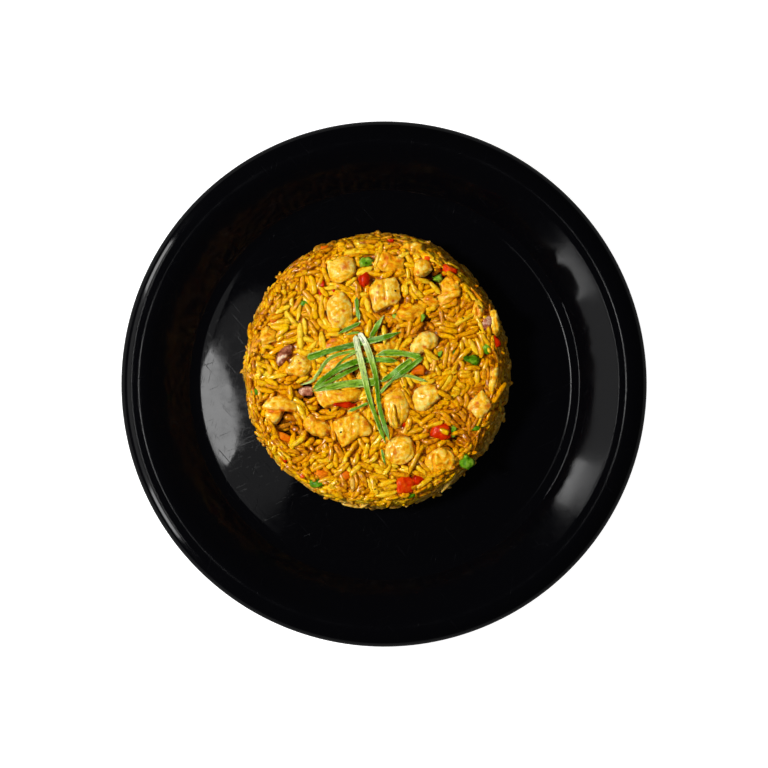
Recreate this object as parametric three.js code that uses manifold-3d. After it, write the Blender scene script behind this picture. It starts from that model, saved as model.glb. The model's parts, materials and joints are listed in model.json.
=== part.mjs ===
// A plate of chicken fried rice: a black coupe dinner plate, a round of yellow rice turned out of a
// mould, diced chicken and vegetables pressed into its top, and shreds of spring onion laid over it.
// Millimetres, +Z up, origin on the table under the middle of the plate. +Y is the far side of the plate.

import * as THREE from 'three';
import { mergeVertices } from 'three/addons/utils/BufferGeometryUtils.js';
import Module from 'manifold-3d';

const wasm = await Module();
wasm.setup();

// ---------------------------------------------------------------------------------- driving sizes

const GAP = 0.3; // clear space between pieces that touch

const plate = {
  radius: 127,
  thickness: 3.6,
  floorTop: 6,
  wellRadius: 89.5, // the flat of the well ends here
  filletRadius: 12, // from the flat up into the wall
  wallSlope: THREE.MathUtils.degToRad(36),
  lipRadius: 10.2, // the rolled lip, seen in section
  lipEndAngle: THREE.MathUtils.degToRad(33),
  footRadius: 75,
  footWidth: 4,
  segments: 56,
};

const heap = {
  x: -3,
  y: 6.5,
  baseRadius: 65.3,
  shoulderRadius: 58.5,
  crownHeight: 35.2,
  crownDrop: 1.1,
  lean: 2, // the top lies this far to the left of the base
  bumpHeight: 0.9, // relief of the grains that are not modelled one by one
  cells: 7, // subdivision of the core
};

const grainSize = { width: 2.8, thickness: 2.5, shortest: 9.5, longest: 14 };
const topGrains = 61;
const sideGrains = 39;
const riceAboveCore = 1; // grain tops stand this far above the bare core

const chickenHeight = 9.5;
const vegetableHeight = 4;
const shredThickness = 0.9;

// ------------------------------------------------------------------------------------- the toppings
// Each row: middle of the piece, its length and width, the turn of its length from +X in degrees,
// and how far its top stands above the rice. Roundness runs from 0, a box, to 1, a ball.

const chicken = [
  { x: -20, y: 53.5, length: 13.5, width: 12.5, turn: 0, rise: 2.5, roundness: 0.35 },
  { x: -20.5, y: 35, length: 19, width: 13.5, turn: 95, rise: 2.5, roundness: 0.6 },
  { x: 0.5, y: 43, length: 16, width: 15.5, turn: -12, rise: 2.5, roundness: 0.2 },
  { x: 3.5, y: 56.5, length: 14.5, width: 11.5, turn: 15, rise: 1.5, lumps: 0.9 },
  { x: 13.5, y: 64, length: 12, width: 7, turn: -8, rise: 0.8, lumps: 0.8 },
  { x: 18.5, y: 55, length: 9.5, width: 8.5, turn: 30, rise: 2, roundness: 0.7 },
  { x: 31.5, y: 44, length: 14, width: 12, turn: 65, rise: 2, lumps: 0.8 },
  { x: 21.5, y: 39.5, length: 9, width: 7.5, turn: -25, rise: 1 },
  { x: 19, y: 19.5, length: 14, width: 12, turn: 12, rise: 2.5, taper: -0.25 },
  { x: -39, y: 8.5, length: 13, width: 11, turn: -20, rise: 2, roundness: 0.6 },
  { x: -54.5, y: 22.5, length: 12, width: 9.5, turn: 25, rise: 1, roundness: 0.6 },
  { x: -24, y: 19.5, length: 13.5, width: 6.5, turn: 20, rise: 1 },
  { x: -20, y: 10.5, length: 16, width: 10.5, turn: -8, rise: 1.5, roundness: 0.3 },
  { x: -24, y: -3.5, length: 15, width: 12, turn: 28, rise: 1.5, roundness: 0.3 },
  { x: -8, y: 6.5, length: 10, width: 7.5, turn: 70, rise: 1 },
  { x: 6, y: -11.5, length: 21, width: 13, turn: 98, rise: 2.5, roundness: 0.65 },
  { x: 20, y: -6, length: 14, width: 13, turn: 40, rise: 2.5 },
  { x: 45.5, y: -10, length: 13, width: 12, turn: 35, rise: 2.5, roundness: 0.3 },
  { x: 51.5, y: 3, length: 15.5, width: 6, turn: 80, rise: 1.5 },
  { x: 8, y: -31.5, length: 15.5, width: 14.5, turn: 10, rise: 3 },
  { x: 26.5, y: -37, length: 17, width: 16, turn: 0, rise: 1.5, lumps: 0.9 },
  { x: -16, y: -21, length: 17, width: 16, turn: 20, rise: 2.5, roundness: 0.25 },
  { x: -32, y: -20.5, length: 15.5, width: 10.5, turn: -38, rise: 2, roundness: 0.6 },
  { x: -49, y: -11, length: 20, width: 7.5, turn: 0, rise: 2, roundness: 0.6, bend: -1.5 },
  { x: 43.5, y: 35, length: 10, width: 8, turn: 100, rise: 1, roundness: 0.6 },
  { x: 52.5, y: 28.5, length: 12.5, width: 4.8, turn: 82, rise: 1 },
  { x: 13, y: 33, length: 15.5, width: 8.5, turn: -5, rise: 1.5, lumps: 0.9 },
  { x: 0.5, y: 17.5, length: 13.5, width: 7, turn: -3, rise: 1 },
];

const redPepper = [
  { x: -9.5, y: 49, length: 8, width: 5.5, turn: 75, rise: 1.5, taper: -0.4 },
  { x: 31, y: 54.5, length: 8, width: 5.5, turn: -10, rise: 1.5 },
  { x: -19.5, y: -10.5, length: 12.5, width: 3.8, turn: -6, rise: 1.2 },
  { x: 27, y: -22.5, length: 9.5, width: 7, turn: 5, rise: 1.5 },
  { x: 10, y: -48, length: 9, width: 8, turn: -5, rise: 1.2 },
  { x: 16.5, y: -44.5, length: 6.5, width: 4.6, turn: -20, rise: 0.8 },
];

const carrot = [
  { x: 17, y: 7, length: 6.6, width: 4.4, turn: 8, rise: 1.3 },
  { x: -30, y: -42, length: 6.2, width: 4.4, turn: 0, rise: 1.3 },
];

const onion = [
  { x: -47.5, y: 13.5, length: 11.5, width: 4.8, turn: 58, rise: 1.2, bend: 0.7 },
  { x: 48, y: 29.5, length: 6.6, width: 4.8, turn: 50, rise: 1.2 },
];

const greenPieces = [
  { x: -8.5, y: 58, length: 7.2, width: 4.8, turn: 5, rise: 1.3, roundness: 0.7 },
  { x: 41.5, y: 11.5, length: 8.5, width: 4.6, turn: -12, rise: 1.4 },
  { x: 39, y: -37, length: 7.2, width: 6.6, turn: 20, rise: 1.2 },
  { x: 25, y: 50.5, length: 6.4, width: 4.6, turn: 60, rise: 0.8 },
];

// Bits smaller than a berry are one with the rice that holds them.
const smallBits = [
  { x: 52.5, y: 20, length: 5.7, width: 4.3, turn: -50 },
  { x: -52, y: 31, length: 4.4, width: 3.8, turn: 40 },
  { x: -60, y: -4.5, length: 6, width: 3.8, turn: -35 },
  { x: -32, y: -47, length: 6, width: 3.8, turn: 5 },
  { x: 48.5, y: 17, length: 5.7, width: 3.8, turn: -60 },
  { x: -29.5, y: 45.5, length: 7, width: 2.4, turn: 80 },
  { x: -49, y: -25, length: 9.5, width: 4.4, turn: -20 },
  { x: -18.5, y: -43, length: 5, width: 4.4, turn: 0 },
  { x: -37.5, y: 38.5, length: 4, width: 2.6, turn: 0 },
  { x: 33, y: -22, length: 6, width: 2.8, turn: 80 },
  { x: 43.5, y: -21, length: 4.4, width: 2.8, turn: 0 },
  { x: -37, y: -3.5, length: 6.6, width: 4.6, turn: 0 },
];

// ------------------------------------------------------------------------------ spring onion shreds
// Where each shred runs over the top, from end to end, and its width at the middle.

const shreds = [
  { width: 3.6, points: [[-34, -3.5], [-25.5, -1.5], [-18, 0], [-9.5, 0.5], [-1, 1.5]] },
  { width: 1.9, points: [[-34, -2.5], [-27, 0.5], [-20.5, 4], [-11.5, 8.5]] },
  { width: 1.2, points: [[-39.5, -0.5], [-34, 1.5], [-31.5, 4.5], [-25, 12.5], [-13, 16]] },
  { width: 2.4, points: [[-32.5, -1.5], [-27, 3.5], [-20.5, 7.5], [-13, 10.5], [-4, 11.5], [6.5, 11]] },
  { width: 2.6, points: [[-4, 13.5], [2, 14.8], [9.5, 14.3], [17.5, 13]] },
  { width: 1.3, points: [[-17, -13], [-12, -11], [-7.5, -9]] },
  { width: 1.4, points: [[-2, -4.5], [2, 0], [6, 3], [11.5, 3.8], [20.5, 1]] },
  { width: 3, points: [[-36.5, 12.2], [-24.5, 16], [-12, 19.2], [-1, 21.7], [8, 24.6]] },
  { width: 2.2, points: [[-1.5, 1], [4, 4.7], [8.5, 8.4], [12.8, 11.5]] },
  { width: 2.2, points: [[4.2, 2.3], [7.5, 4.7], [12.7, 8.4], [17.4, 12.2]] },
  { width: 2.4, points: [[-13.6, 23], [-12.2, 16], [-10.3, 8.4], [-6.6, -7.5], [-2, -20.5], [0.5, -27]] },
  { width: 2.4, points: [[-11.5, 24.4], [-8, 17.4], [-4, 4.2], [-2, -11.3], [2, -25.3]] },
  { width: 1.9, points: [[-13, 41], [-12.7, 35.6], [-11.7, 30]] },
  { width: 1.9, points: [[-11, 29], [-16, 26.7], [-21.6, 23.7]] },
  { width: 2.2, points: [[-6.6, 21.8], [-4.2, 25.8], [-2, 29.5], [0, 32]] },
];

// ------------------------------------------------------------------------------------------ helpers

function seededRandom(seed) {
  let state = seed;
  return function next() {
    state = (state + 0x6d2b79f5) | 0;
    let mixed = Math.imul(state ^ (state >>> 15), 1 | state);
    mixed = (mixed + Math.imul(mixed ^ (mixed >>> 7), 61 | mixed)) ^ mixed;
    return ((mixed ^ (mixed >>> 14)) >>> 0) / 4294967296;
  };
}

const random = seededRandom(5615);
const between = (low, high) => low + (high - low) * random();

function weld(geometry) {
  geometry.deleteAttribute('normal');
  geometry.deleteAttribute('uv');
  return mergeVertices(geometry, 1e-4);
}

function eachVertex(geometry, change) {
  const places = geometry.attributes.position;
  const point = new THREE.Vector3();
  for (let i = 0; i < places.count; i += 1) {
    point.fromBufferAttribute(places, i);
    change(point, i);
    places.setXYZ(i, point.x, point.y, point.z);
  }
  return geometry;
}

// The same surface moved outwards by a clearance.
function grown(geometry, clearance) {
  const copy = geometry.clone();
  copy.computeVertexNormals();
  const normals = copy.attributes.normal;
  const normal = new THREE.Vector3();
  eachVertex(copy, (point, i) => {
    normal.fromBufferAttribute(normals, i);
    point.addScaledVector(normal, clearance);
  });
  copy.deleteAttribute('normal');
  return copy;
}

function toSolid(geometry) {
  const vertProperties = new Float32Array(geometry.attributes.position.array);
  const triVerts = new Uint32Array(geometry.index.array);
  return new wasm.Manifold(new wasm.Mesh({ numProp: 3, vertProperties, triVerts }));
}

function toGeometry(solid) {
  const { vertProperties, triVerts } = solid.getMesh();
  const geometry = new THREE.BufferGeometry();
  geometry.setAttribute('position', new THREE.BufferAttribute(vertProperties, 3));
  geometry.setIndex(new THREE.BufferAttribute(triVerts, 1));
  geometry.computeVertexNormals();
  return geometry;
}

// Drops loose scraps and fills sealed hollows: both are separate surfaces, and the body is the largest.
function largestBody(solid) {
  const bodies = solid.decompose();
  return bodies.reduce((best, body) => (body.volume() > best.volume() ? body : best));
}

function boxesMeet(first, second) {
  const a = first.boundingBox();
  const b = second.boundingBox();
  return [0, 1, 2].every((axis) => a.min[axis] < b.max[axis] && b.min[axis] < a.max[axis]);
}

function solidsMeet(first, second) {
  return boxesMeet(first, second) && !first.intersect(second).isEmpty();
}

function finish(color, roughness) {
  return new THREE.MeshStandardMaterial({ color, roughness, metalness: 0 });
}

const group = new THREE.Group();
const placed = []; // what the shreds are laid over

function addPiece(name, solid, material) {
  const mesh = new THREE.Mesh(toGeometry(solid), material);
  mesh.name = name;
  group.add(mesh);
  placed.push({ mesh, solid });
}

// -------------------------------------------------------------------------------------------- plate

function arc(centreRadius, centreHeight, radius, from, to, steps) {
  const points = [];
  for (let i = 0; i <= steps; i += 1) {
    const angle = from + ((to - from) * i) / steps;
    const across = centreRadius + radius * Math.cos(angle);
    points.push(new THREE.Vector2(across, centreHeight + radius * Math.sin(angle)));
  }
  return points;
}

function plateSolid() {
  const { floorTop, thickness, wellRadius, filletRadius, wallSlope, lipRadius } = plate;
  const quarter = Math.PI / 2;
  const edgeRadius = thickness / 2;
  const edgeReach = (lipRadius - edgeRadius) * Math.cos(plate.lipEndAngle);
  const edgeAcross = plate.radius - edgeRadius;
  const lipCentreRadius = edgeAcross - edgeReach;
  const filletHeight = floorTop + filletRadius;
  const wallFoot = wellRadius + filletRadius * Math.sin(wallSlope);
  const wallFootHeight = filletHeight - filletRadius * Math.cos(wallSlope);
  const wallHead = lipCentreRadius - lipRadius * Math.sin(wallSlope);
  const wallHeadHeight = wallFootHeight + (wallHead - wallFoot) * Math.tan(wallSlope);
  const lipHeight = wallHeadHeight - lipRadius * Math.cos(wallSlope);
  const lipStart = quarter + wallSlope;
  const edgeHeight = lipHeight + (lipRadius - edgeRadius) * Math.sin(plate.lipEndAngle);
  const underside = floorTop - thickness;
  const footOuter = plate.footRadius + plate.footWidth / 2;
  const footInner = plate.footRadius - plate.footWidth / 2;
  const profile = [
    new THREE.Vector2(0, floorTop),
    ...arc(wellRadius, filletHeight, filletRadius, -quarter, -quarter + wallSlope, 3),
    ...arc(lipCentreRadius, lipHeight, lipRadius, lipStart, plate.lipEndAngle, 5),
    ...arc(edgeAcross, edgeHeight, edgeRadius, plate.lipEndAngle, plate.lipEndAngle - Math.PI, 3).slice(1),
    ...arc(lipCentreRadius, lipHeight, lipRadius - thickness, plate.lipEndAngle, lipStart, 3).slice(1),
    ...arc(wellRadius, filletHeight, filletRadius + thickness, -quarter + wallSlope, -quarter, 2),
    new THREE.Vector2(footOuter + 0.5, underside),
    new THREE.Vector2(footOuter, 0),
    new THREE.Vector2(footInner, 0),
    new THREE.Vector2(footInner - 0.5, underside),
    new THREE.Vector2(0, underside),
  ];
  const lathe = new THREE.LatheGeometry(profile.reverse(), plate.segments);
  lathe.rotateX(quarter);
  return toSolid(weld(lathe));
}

// ---------------------------------------------------------------------------------------- rice core

// The side of the round, from its shoulder down to its foot, as radius and height.
const sideCurve = new THREE.SplineCurve([
  new THREE.Vector2(heap.shoulderRadius, heap.crownHeight - heap.crownDrop),
  new THREE.Vector2(61.3, 30.8),
  new THREE.Vector2(63, 21),
  new THREE.Vector2(64.6, 11),
  new THREE.Vector2(heap.baseRadius, plate.floorTop + GAP),
]);

// Turns a direction's height on a ball into a place on the round's section, area for area.
const topShare = 0.1;
const bottomShare = -0.8;

function sectionPoint(level) {
  if (level > topShare) {
    const across = heap.shoulderRadius * Math.sqrt((1 - level) / (1 - topShare));
    return { across, height: crownAt(across) };
  }
  if (level > bottomShare) {
    const side = sideCurve.getPoint((topShare - level) / (topShare - bottomShare));
    return { across: side.x, height: side.y };
  }
  const across = heap.baseRadius * Math.sqrt(Math.max(0, (1 + level) / (1 + bottomShare)));
  return { across, height: plate.floorTop + GAP };
}

function crownAt(across) {
  const share = Math.min(1, across / heap.shoulderRadius);
  return heap.crownHeight - heap.crownDrop * share * share;
}

// The mould's wall was loosely packed, so the round is a little out of true.
function outOfRound(angle) {
  return 1 + 0.01 * Math.sin(3 * angle + 1) + 0.006 * Math.sin(5 * angle + 2.2);
}

function leanAt(height) {
  return (-heap.lean * (height - plate.floorTop)) / (heap.crownHeight - plate.floorTop);
}

function heapPoint(across, angle, height) {
  const reach = across * outOfRound(angle);
  return new THREE.Vector3(
    heap.x + leanAt(height) + reach * Math.cos(angle),
    heap.y + reach * Math.sin(angle),
    height,
  );
}

function riceCore() {
  const ball = weld(new THREE.IcosahedronGeometry(1, heap.cells));
  const lowest = plate.floorTop + GAP;
  eachVertex(ball, (point) => {
    const angle = Math.atan2(point.y, point.x);
    const { across, height } = sectionPoint(point.normalize().z);
    const onFloor = height <= lowest + 1e-6;
    const bump = onFloor ? 0 : between(-heap.bumpHeight, heap.bumpHeight);
    const isTop = across < heap.shoulderRadius && !onFloor;
    const place = heapPoint(across + (isTop ? 0 : bump), angle, height);
    point.copy(place);
    point.z = Math.max(lowest, point.z + (isTop ? bump : 0));
  });
  return toSolid(ball);
}

function riceTopAt(x, y) {
  const across = Math.hypot(x - heap.x + heap.lean, y - heap.y);
  return crownAt(across) + riceAboveCore;
}

// ----------------------------------------------------------------------------------- diced toppings

const blockCells = { chicken: [3, 3, 2], vegetable: [2, 2, 1], bit: [1, 1, 1] };

// A diced piece, lying along X about the origin: a box with its corners eased, tapered and bent.
function block(row, height, cells, easing) {
  const { length, width, taper = 0, bend = 0 } = row;
  const box = weld(new THREE.BoxGeometry(1, 1, 1, ...cells));
  const ballRadius = 0.56;
  const bendRadius = bend === 0 ? Infinity : length / bend;
  const ballPoint = new THREE.Vector3();
  return eachVertex(box, (point) => {
    ballPoint.copy(point).normalize().multiplyScalar(ballRadius);
    point.lerp(ballPoint, easing);
    const along = point.x * length;
    const across = point.y * width * (1 + taper * 2 * point.x);
    point.set(along, across, point.z * height);
    if (bend !== 0) {
      const turn = along / bendRadius;
      point.x = (bendRadius - across) * Math.sin(turn);
      point.y = bendRadius - (bendRadius - across) * Math.cos(turn);
    }
  });
}

// The piece itself, the same piece with clearance round it, and the plain hole that it sits in.
function dicedPiece(row, height, cells) {
  const { roundness = 0.45, lumps = 0.4 } = row;
  const body = block(row, height, cells, roundness);
  eachVertex(body, (point) => {
    point.x += between(-lumps, lumps);
    point.y += between(-lumps, lumps);
    point.z += between(-lumps, lumps) / 2;
  });
  const spare = 2 * (GAP + lumps);
  const holeRow = { ...row, length: row.length * 1.06 + spare, width: row.width * 1.06 + spare };
  const holeCells = row.bend ? [3, 1, 1] : [1, 1, 1];
  const hole = block(holeRow, height + spare, holeCells, 0);
  const tilt = new THREE.Euler(
    THREE.MathUtils.degToRad(between(-7, 7)),
    THREE.MathUtils.degToRad(between(-7, 7)),
    THREE.MathUtils.degToRad(row.turn),
    'ZYX',
  );
  const middle = riceTopAt(row.x, row.y) + (row.rise ?? 0.8) - height / 2;
  const pose = new THREE.Matrix4().makeRotationFromEuler(tilt).setPosition(row.x, row.y, middle);
  for (const geometry of [body, hole]) geometry.applyMatrix4(pose);
  return { solid: toSolid(body), room: toSolid(grown(body, GAP)), hole: toSolid(hole) };
}

function dicedPieces(rows, nameOf, height, cells, material) {
  return rows.map((row, i) => ({ ...dicedPiece(row, height, cells), name: nameOf(i + 1), material }));
}

const twoDigits = (number) => String(number).padStart(2, '0');

const toppings = [
  ...dicedPieces(chicken, (n) => `chicken_${twoDigits(n)}`, chickenHeight, blockCells.chicken,
    finish('#f2b64a', 0.5)),
  ...dicedPieces(redPepper, (n) => `red_pepper_${n}`, vegetableHeight, blockCells.vegetable,
    finish('#c81a08', 0.35)),
  ...dicedPieces(carrot, (n) => `carrot_${n}`, vegetableHeight, blockCells.vegetable,
    finish('#ee7a12', 0.45)),
  ...dicedPieces(onion, (n) => `onion_${n}`, vegetableHeight, blockCells.vegetable,
    finish('#8c4a3c', 0.35)),
  ...dicedPieces(greenPieces, (n) => `green_${n}`, vegetableHeight, blockCells.vegetable,
    finish('#4f8a12', 0.4)),
];

// Neighbours that crowd each other: the later one gives way.
toppings.forEach((topping, i) => {
  for (const earlier of toppings.slice(0, i)) {
    if (!solidsMeet(topping.solid, earlier.room)) continue;
    topping.solid = largestBody(topping.solid.subtract(earlier.room));
    topping.room = largestBody(topping.room.subtract(earlier.solid));
  }
});

// ------------------------------------------------------------------------------- grains on the heap

const goldenAngle = Math.PI * (3 - Math.sqrt(5));
const plasticNumber = 1.32472; // its powers spread points evenly over a rectangle

function grain(length, pose) {
  const shape = weld(new THREE.SphereGeometry(1, 5, 3));
  shape.scale(grainSize.width / 2, length / 2, grainSize.thickness / 2);
  return toSolid(shape.applyMatrix4(pose));
}

// A pose with Z along the surface's outward direction, and a spin about it.
function poseOnSurface(place, outward, spin) {
  const turn = new THREE.Quaternion().setFromUnitVectors(new THREE.Vector3(0, 0, 1), outward);
  turn.multiply(new THREE.Quaternion().setFromAxisAngle(new THREE.Vector3(0, 0, 1), spin));
  return new THREE.Matrix4().compose(place, turn, new THREE.Vector3(1, 1, 1));
}

function topSite(i) {
  const across = (heap.shoulderRadius - 1) * Math.sqrt((i + 0.5) / topGrains);
  const angle = i * goldenAngle + between(-0.04, 0.04);
  const place = heapPoint(across, angle, crownAt(across) + 0.2);
  const outward = new THREE.Vector3(between(-0.15, 0.15), between(-0.15, 0.15), 1).normalize();
  return { place, outward };
}

function sideSite(i) {
  const down = 0.06 + 0.82 * ((i / plasticNumber) % 1);
  const angle = (2 * Math.PI * i) / plasticNumber ** 2;
  const spot = sideCurve.getPoint(down);
  const slope = sideCurve.getTangent(down);
  const place = heapPoint(spot.x + 0.2, angle, spot.y);
  const outward = new THREE.Vector3(
    -slope.y * Math.cos(angle),
    -slope.y * Math.sin(angle),
    slope.x,
  ).normalize();
  return { place, outward };
}

// Tries a few turns for a grain, then a shorter one, and gives up where the toppings leave no room.
function fitGrain(site, length) {
  const lowest = plate.floorTop + GAP;
  for (const share of [1, 1, 1, 0.8, 0.8]) {
    const pose = poseOnSurface(site.place, site.outward, between(0, Math.PI));
    const candidate = grain(length * share, pose);
    const clearOfPlate = candidate.boundingBox().min[2] > lowest;
    const blocked = toppings.some((topping) => solidsMeet(candidate, topping.room));
    if (clearOfPlate && !blocked) return candidate;
  }
  return null;
}

function fusedGrains() {
  const sites = [];
  for (let i = 0; i < topGrains; i += 1) sites.push(topSite(i));
  for (let i = 0; i < sideGrains; i += 1) sites.push(sideSite(i));
  const { shortest, longest } = grainSize;
  return sites.map((site) => fitGrain(site, between(shortest, longest))).filter(Boolean);
}

function fusedBits() {
  const bits = smallBits.map((row) => dicedPiece(row, vegetableHeight, blockCells.bit).solid);
  return bits.filter((bit) => !toppings.some((topping) => solidsMeet(bit, topping.room)));
}

function riceSolid() {
  const holes = wasm.Manifold.union(toppings.map((topping) => topping.hole));
  const core = riceCore().subtract(holes);
  const heaped = wasm.Manifold.union([core, ...fusedBits(), ...fusedGrains()]);
  return largestBody(heaped.simplify(0.02));
}

// ------------------------------------------------------------------------------------ laid on shreds

const down = new THREE.Vector3(0, 0, -1);
const caster = new THREE.Raycaster();

function highestAt(x, y) {
  caster.set(new THREE.Vector3(x, y, 100), down);
  const hits = caster.intersectObjects(placed.map((piece) => piece.mesh));
  return hits.length ? hits[0].point.z : plate.floorTop;
}

function shredStations(row) {
  const corners = row.points.map(([x, y]) => new THREE.Vector3(x, y, 0));
  const line = new THREE.CatmullRomCurve3(corners);
  const steps = Math.max(4, Math.round(line.getLength() / 4.2));
  const stations = [];
  for (let i = 0; i <= steps; i += 1) {
    const along = i / steps;
    const centre = line.getPointAt(along);
    const forward = line.getTangentAt(along);
    const sideways = new THREE.Vector3(-forward.y, forward.x, 0).normalize();
    const narrowing = Math.min(1, 0.35 + 2.6 * Math.min(along, 1 - along));
    const halfWidth = (row.width / 2) * narrowing;
    stations.push({ centre, sideways, halfWidth, forward, halfStep: line.getLength() / steps / 2 });
  }
  return stations;
}

function restHeight(station) {
  let highest = 0;
  for (const along of [-1, -0.5, 0, 0.5, 1]) {
    for (const across of [-1, 0, 1]) {
      const spot = station.centre.clone();
      spot.addScaledVector(station.forward, along * station.halfStep);
      spot.addScaledVector(station.sideways, across * station.halfWidth);
      highest = Math.max(highest, highestAt(spot.x, spot.y));
    }
  }
  return highest + GAP;
}

// A limp shred bridges the dips: no station hangs far below the line between its neighbours.
function bridgeDips(heights) {
  const mostSag = 0.5;
  for (let pass = 0; pass < 40; pass += 1) {
    for (let i = 1; i < heights.length - 1; i += 1) {
      const bridge = (heights[i - 1] + heights[i + 1]) / 2 - mostSag;
      heights[i] = Math.max(heights[i], bridge);
    }
  }
}

// A flat strip with its two faces split into triangles alike.
function strip(stations, heights) {
  const corners = [];
  stations.forEach((station, i) => {
    for (const [side, lift] of [[-1, 0], [1, 0], [1, shredThickness], [-1, shredThickness]]) {
      const corner = station.centre.clone().addScaledVector(station.sideways, side * station.halfWidth);
      corners.push(corner.x, corner.y, heights[i] + lift);
    }
  });
  const faces = [0, 2, 1, 0, 3, 2];
  for (let i = 0; i < stations.length - 1; i += 1) {
    const here = 4 * i;
    const next = here + 4;
    for (let edge = 0; edge < 4; edge += 1) {
      const a = edge;
      const b = (edge + 1) % 4;
      faces.push(here + a, here + b, next + b, here + a, next + b, next + a);
    }
  }
  const end = 4 * (stations.length - 1);
  faces.push(end, end + 1, end + 2, end, end + 2, end + 3);
  const geometry = new THREE.BufferGeometry();
  geometry.setAttribute('position', new THREE.Float32BufferAttribute(corners, 3));
  geometry.setIndex(faces);
  return toSolid(geometry);
}

// Lifts the stations next to each place where the strip still cuts what it lies on.
function liftClear(stations, heights) {
  const lift = 0.2;
  for (let round = 0; round < 60; round += 1) {
    const lowered = heights.map((height) => height - GAP / 2);
    const trial = strip(stations, lowered);
    const cuts = placed.filter((piece) => boxesMeet(trial, piece.solid))
      .flatMap((piece) => trial.intersect(piece.solid).decompose())
      .filter((cut) => cut.volume() > 0);
    if (cuts.length === 0) return;
    for (const cut of cuts) {
      const { min, max } = cut.boundingBox();
      const spot = new THREE.Vector3((min[0] + max[0]) / 2, (min[1] + max[1]) / 2, 0);
      const distances = stations.map((station) => station.centre.distanceTo(spot));
      const nearest = distances.indexOf(Math.min(...distances));
      heights[nearest] += lift;
    }
  }
}

function laidShred(row) {
  const stations = shredStations(row);
  const heights = stations.map(restHeight);
  bridgeDips(heights);
  liftClear(stations, heights);
  return strip(stations, heights);
}

// ----------------------------------------------------------------------------------------- assembly

addPiece('plate', plateSolid(), finish('#08080a', 0.18));
addPiece('rice', riceSolid(), finish('#d99a14', 0.5));
for (const topping of toppings) addPiece(topping.name, topping.solid, topping.material);
shreds.forEach((row, i) => {
  addPiece(`scallion_${twoDigits(i + 1)}`, laidShred(row), finish('#6ea31e', 0.45));
});

export default group;
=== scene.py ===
"""A plate of chicken fried rice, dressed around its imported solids.

The plate is turned from its section, the rice is laid grain by grain over a smaller core, the chicken and
vegetables are worked up from their own solids, and the spring onion is laid over what it rests on.
Food is worked out in millimetres and turned into metres as each mesh is made.
"""

import json
import math

import bpy
import numpy as np
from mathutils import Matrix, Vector

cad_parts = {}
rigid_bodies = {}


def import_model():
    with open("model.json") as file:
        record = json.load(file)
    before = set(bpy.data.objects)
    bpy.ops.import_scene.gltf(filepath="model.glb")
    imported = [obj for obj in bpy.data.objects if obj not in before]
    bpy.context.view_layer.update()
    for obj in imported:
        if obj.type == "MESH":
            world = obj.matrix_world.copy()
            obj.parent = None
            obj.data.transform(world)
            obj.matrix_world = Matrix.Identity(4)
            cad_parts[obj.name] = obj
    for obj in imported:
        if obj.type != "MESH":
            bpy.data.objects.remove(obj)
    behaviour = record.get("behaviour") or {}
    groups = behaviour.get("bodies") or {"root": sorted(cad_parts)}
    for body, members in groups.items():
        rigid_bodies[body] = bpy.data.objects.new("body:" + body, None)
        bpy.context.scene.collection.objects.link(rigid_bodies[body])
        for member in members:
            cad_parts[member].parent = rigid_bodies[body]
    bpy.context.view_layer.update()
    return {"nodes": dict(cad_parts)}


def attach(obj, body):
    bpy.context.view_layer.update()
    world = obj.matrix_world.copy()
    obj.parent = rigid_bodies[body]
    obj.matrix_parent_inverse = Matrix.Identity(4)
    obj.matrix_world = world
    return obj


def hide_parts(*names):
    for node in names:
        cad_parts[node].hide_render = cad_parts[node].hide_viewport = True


MM = 0.001
SEED = 20
BODY = "root"

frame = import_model()
nodes = frame["nodes"]


# ------------------------------------------------------------------------------------ sizes, in mm

FLOOR_TOP = 6.0  # the flat of the plate's well
WELL_RADIUS = 89.5
FILLET_RADIUS = 12.0
WALL_SLOPE = math.radians(36)
LIP_RADIUS = 10.2
LIP_END = math.radians(33)
PLATE_RADIUS = 127.0
PLATE_THICKNESS = 3.6
FOOT_RADIUS = 75.0
FOOT_WIDTH = 4.0

HEAP_X = -3.0
HEAP_Y = 6.5
HEAP_LEAN = 2.0  # the top lies this far to the left of the base
SHOULDER = 58.5
CROWN = 36.3
CROWN_DROP = 1.1
SIDE_HEIGHTS = (6.3, 11.0, 21.0, 30.8, 34.0)
SIDE_RADII = (65.9, 65.2, 63.7, 62.0, 59.8)
CORE_DEPTH = 5.2  # from the grain tops down to the core
SAUCE_DEPTH = 1.9  # from the grain tops down to the sauce between them
GRAIN_EDGE = 62.0  # how far out from its middle the top takes grains
SAUCE_EDGE = 60.5  # and how far out the sauce on top reaches
SIDE_UNROLL = 64.0  # the radius at which the heap's side is unrolled
CORE_BOTTOM = FLOOR_TOP + 0.35
PLATE_SEGMENTS = 224
CORE_SEGMENTS = 160

# The photograph looks straight down on the plate's middle.
PHOTO_WIDTH = 768
FOCAL_PIXELS = 1829  # the camera's focal length, in the photograph's pixels
CAMERA_HEIGHT = 900.0
FOOD_TOP = 36.0
MM_PER_PIXEL = (CAMERA_HEIGHT - FOOD_TOP) / FOCAL_PIXELS  # at the height of the food's top


# ------------------------------------------------------------------------------------ plain helpers


def scatter_hash(cells, seed):
    """A number from -1 to 1 for each cell of a grid of whole numbers."""
    mixed = cells[..., 0] * 374761393 + cells[..., 1] * 668265263 + cells[..., 2] * 1440662683 + seed * 69069
    mixed = mixed & 0xFFFFFFFF
    mixed = ((mixed ^ (mixed >> 13)) * 1274126177) & 0xFFFFFFFF
    mixed = mixed ^ (mixed >> 16)
    return mixed / 0x7FFFFFFF - 1.0


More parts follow.
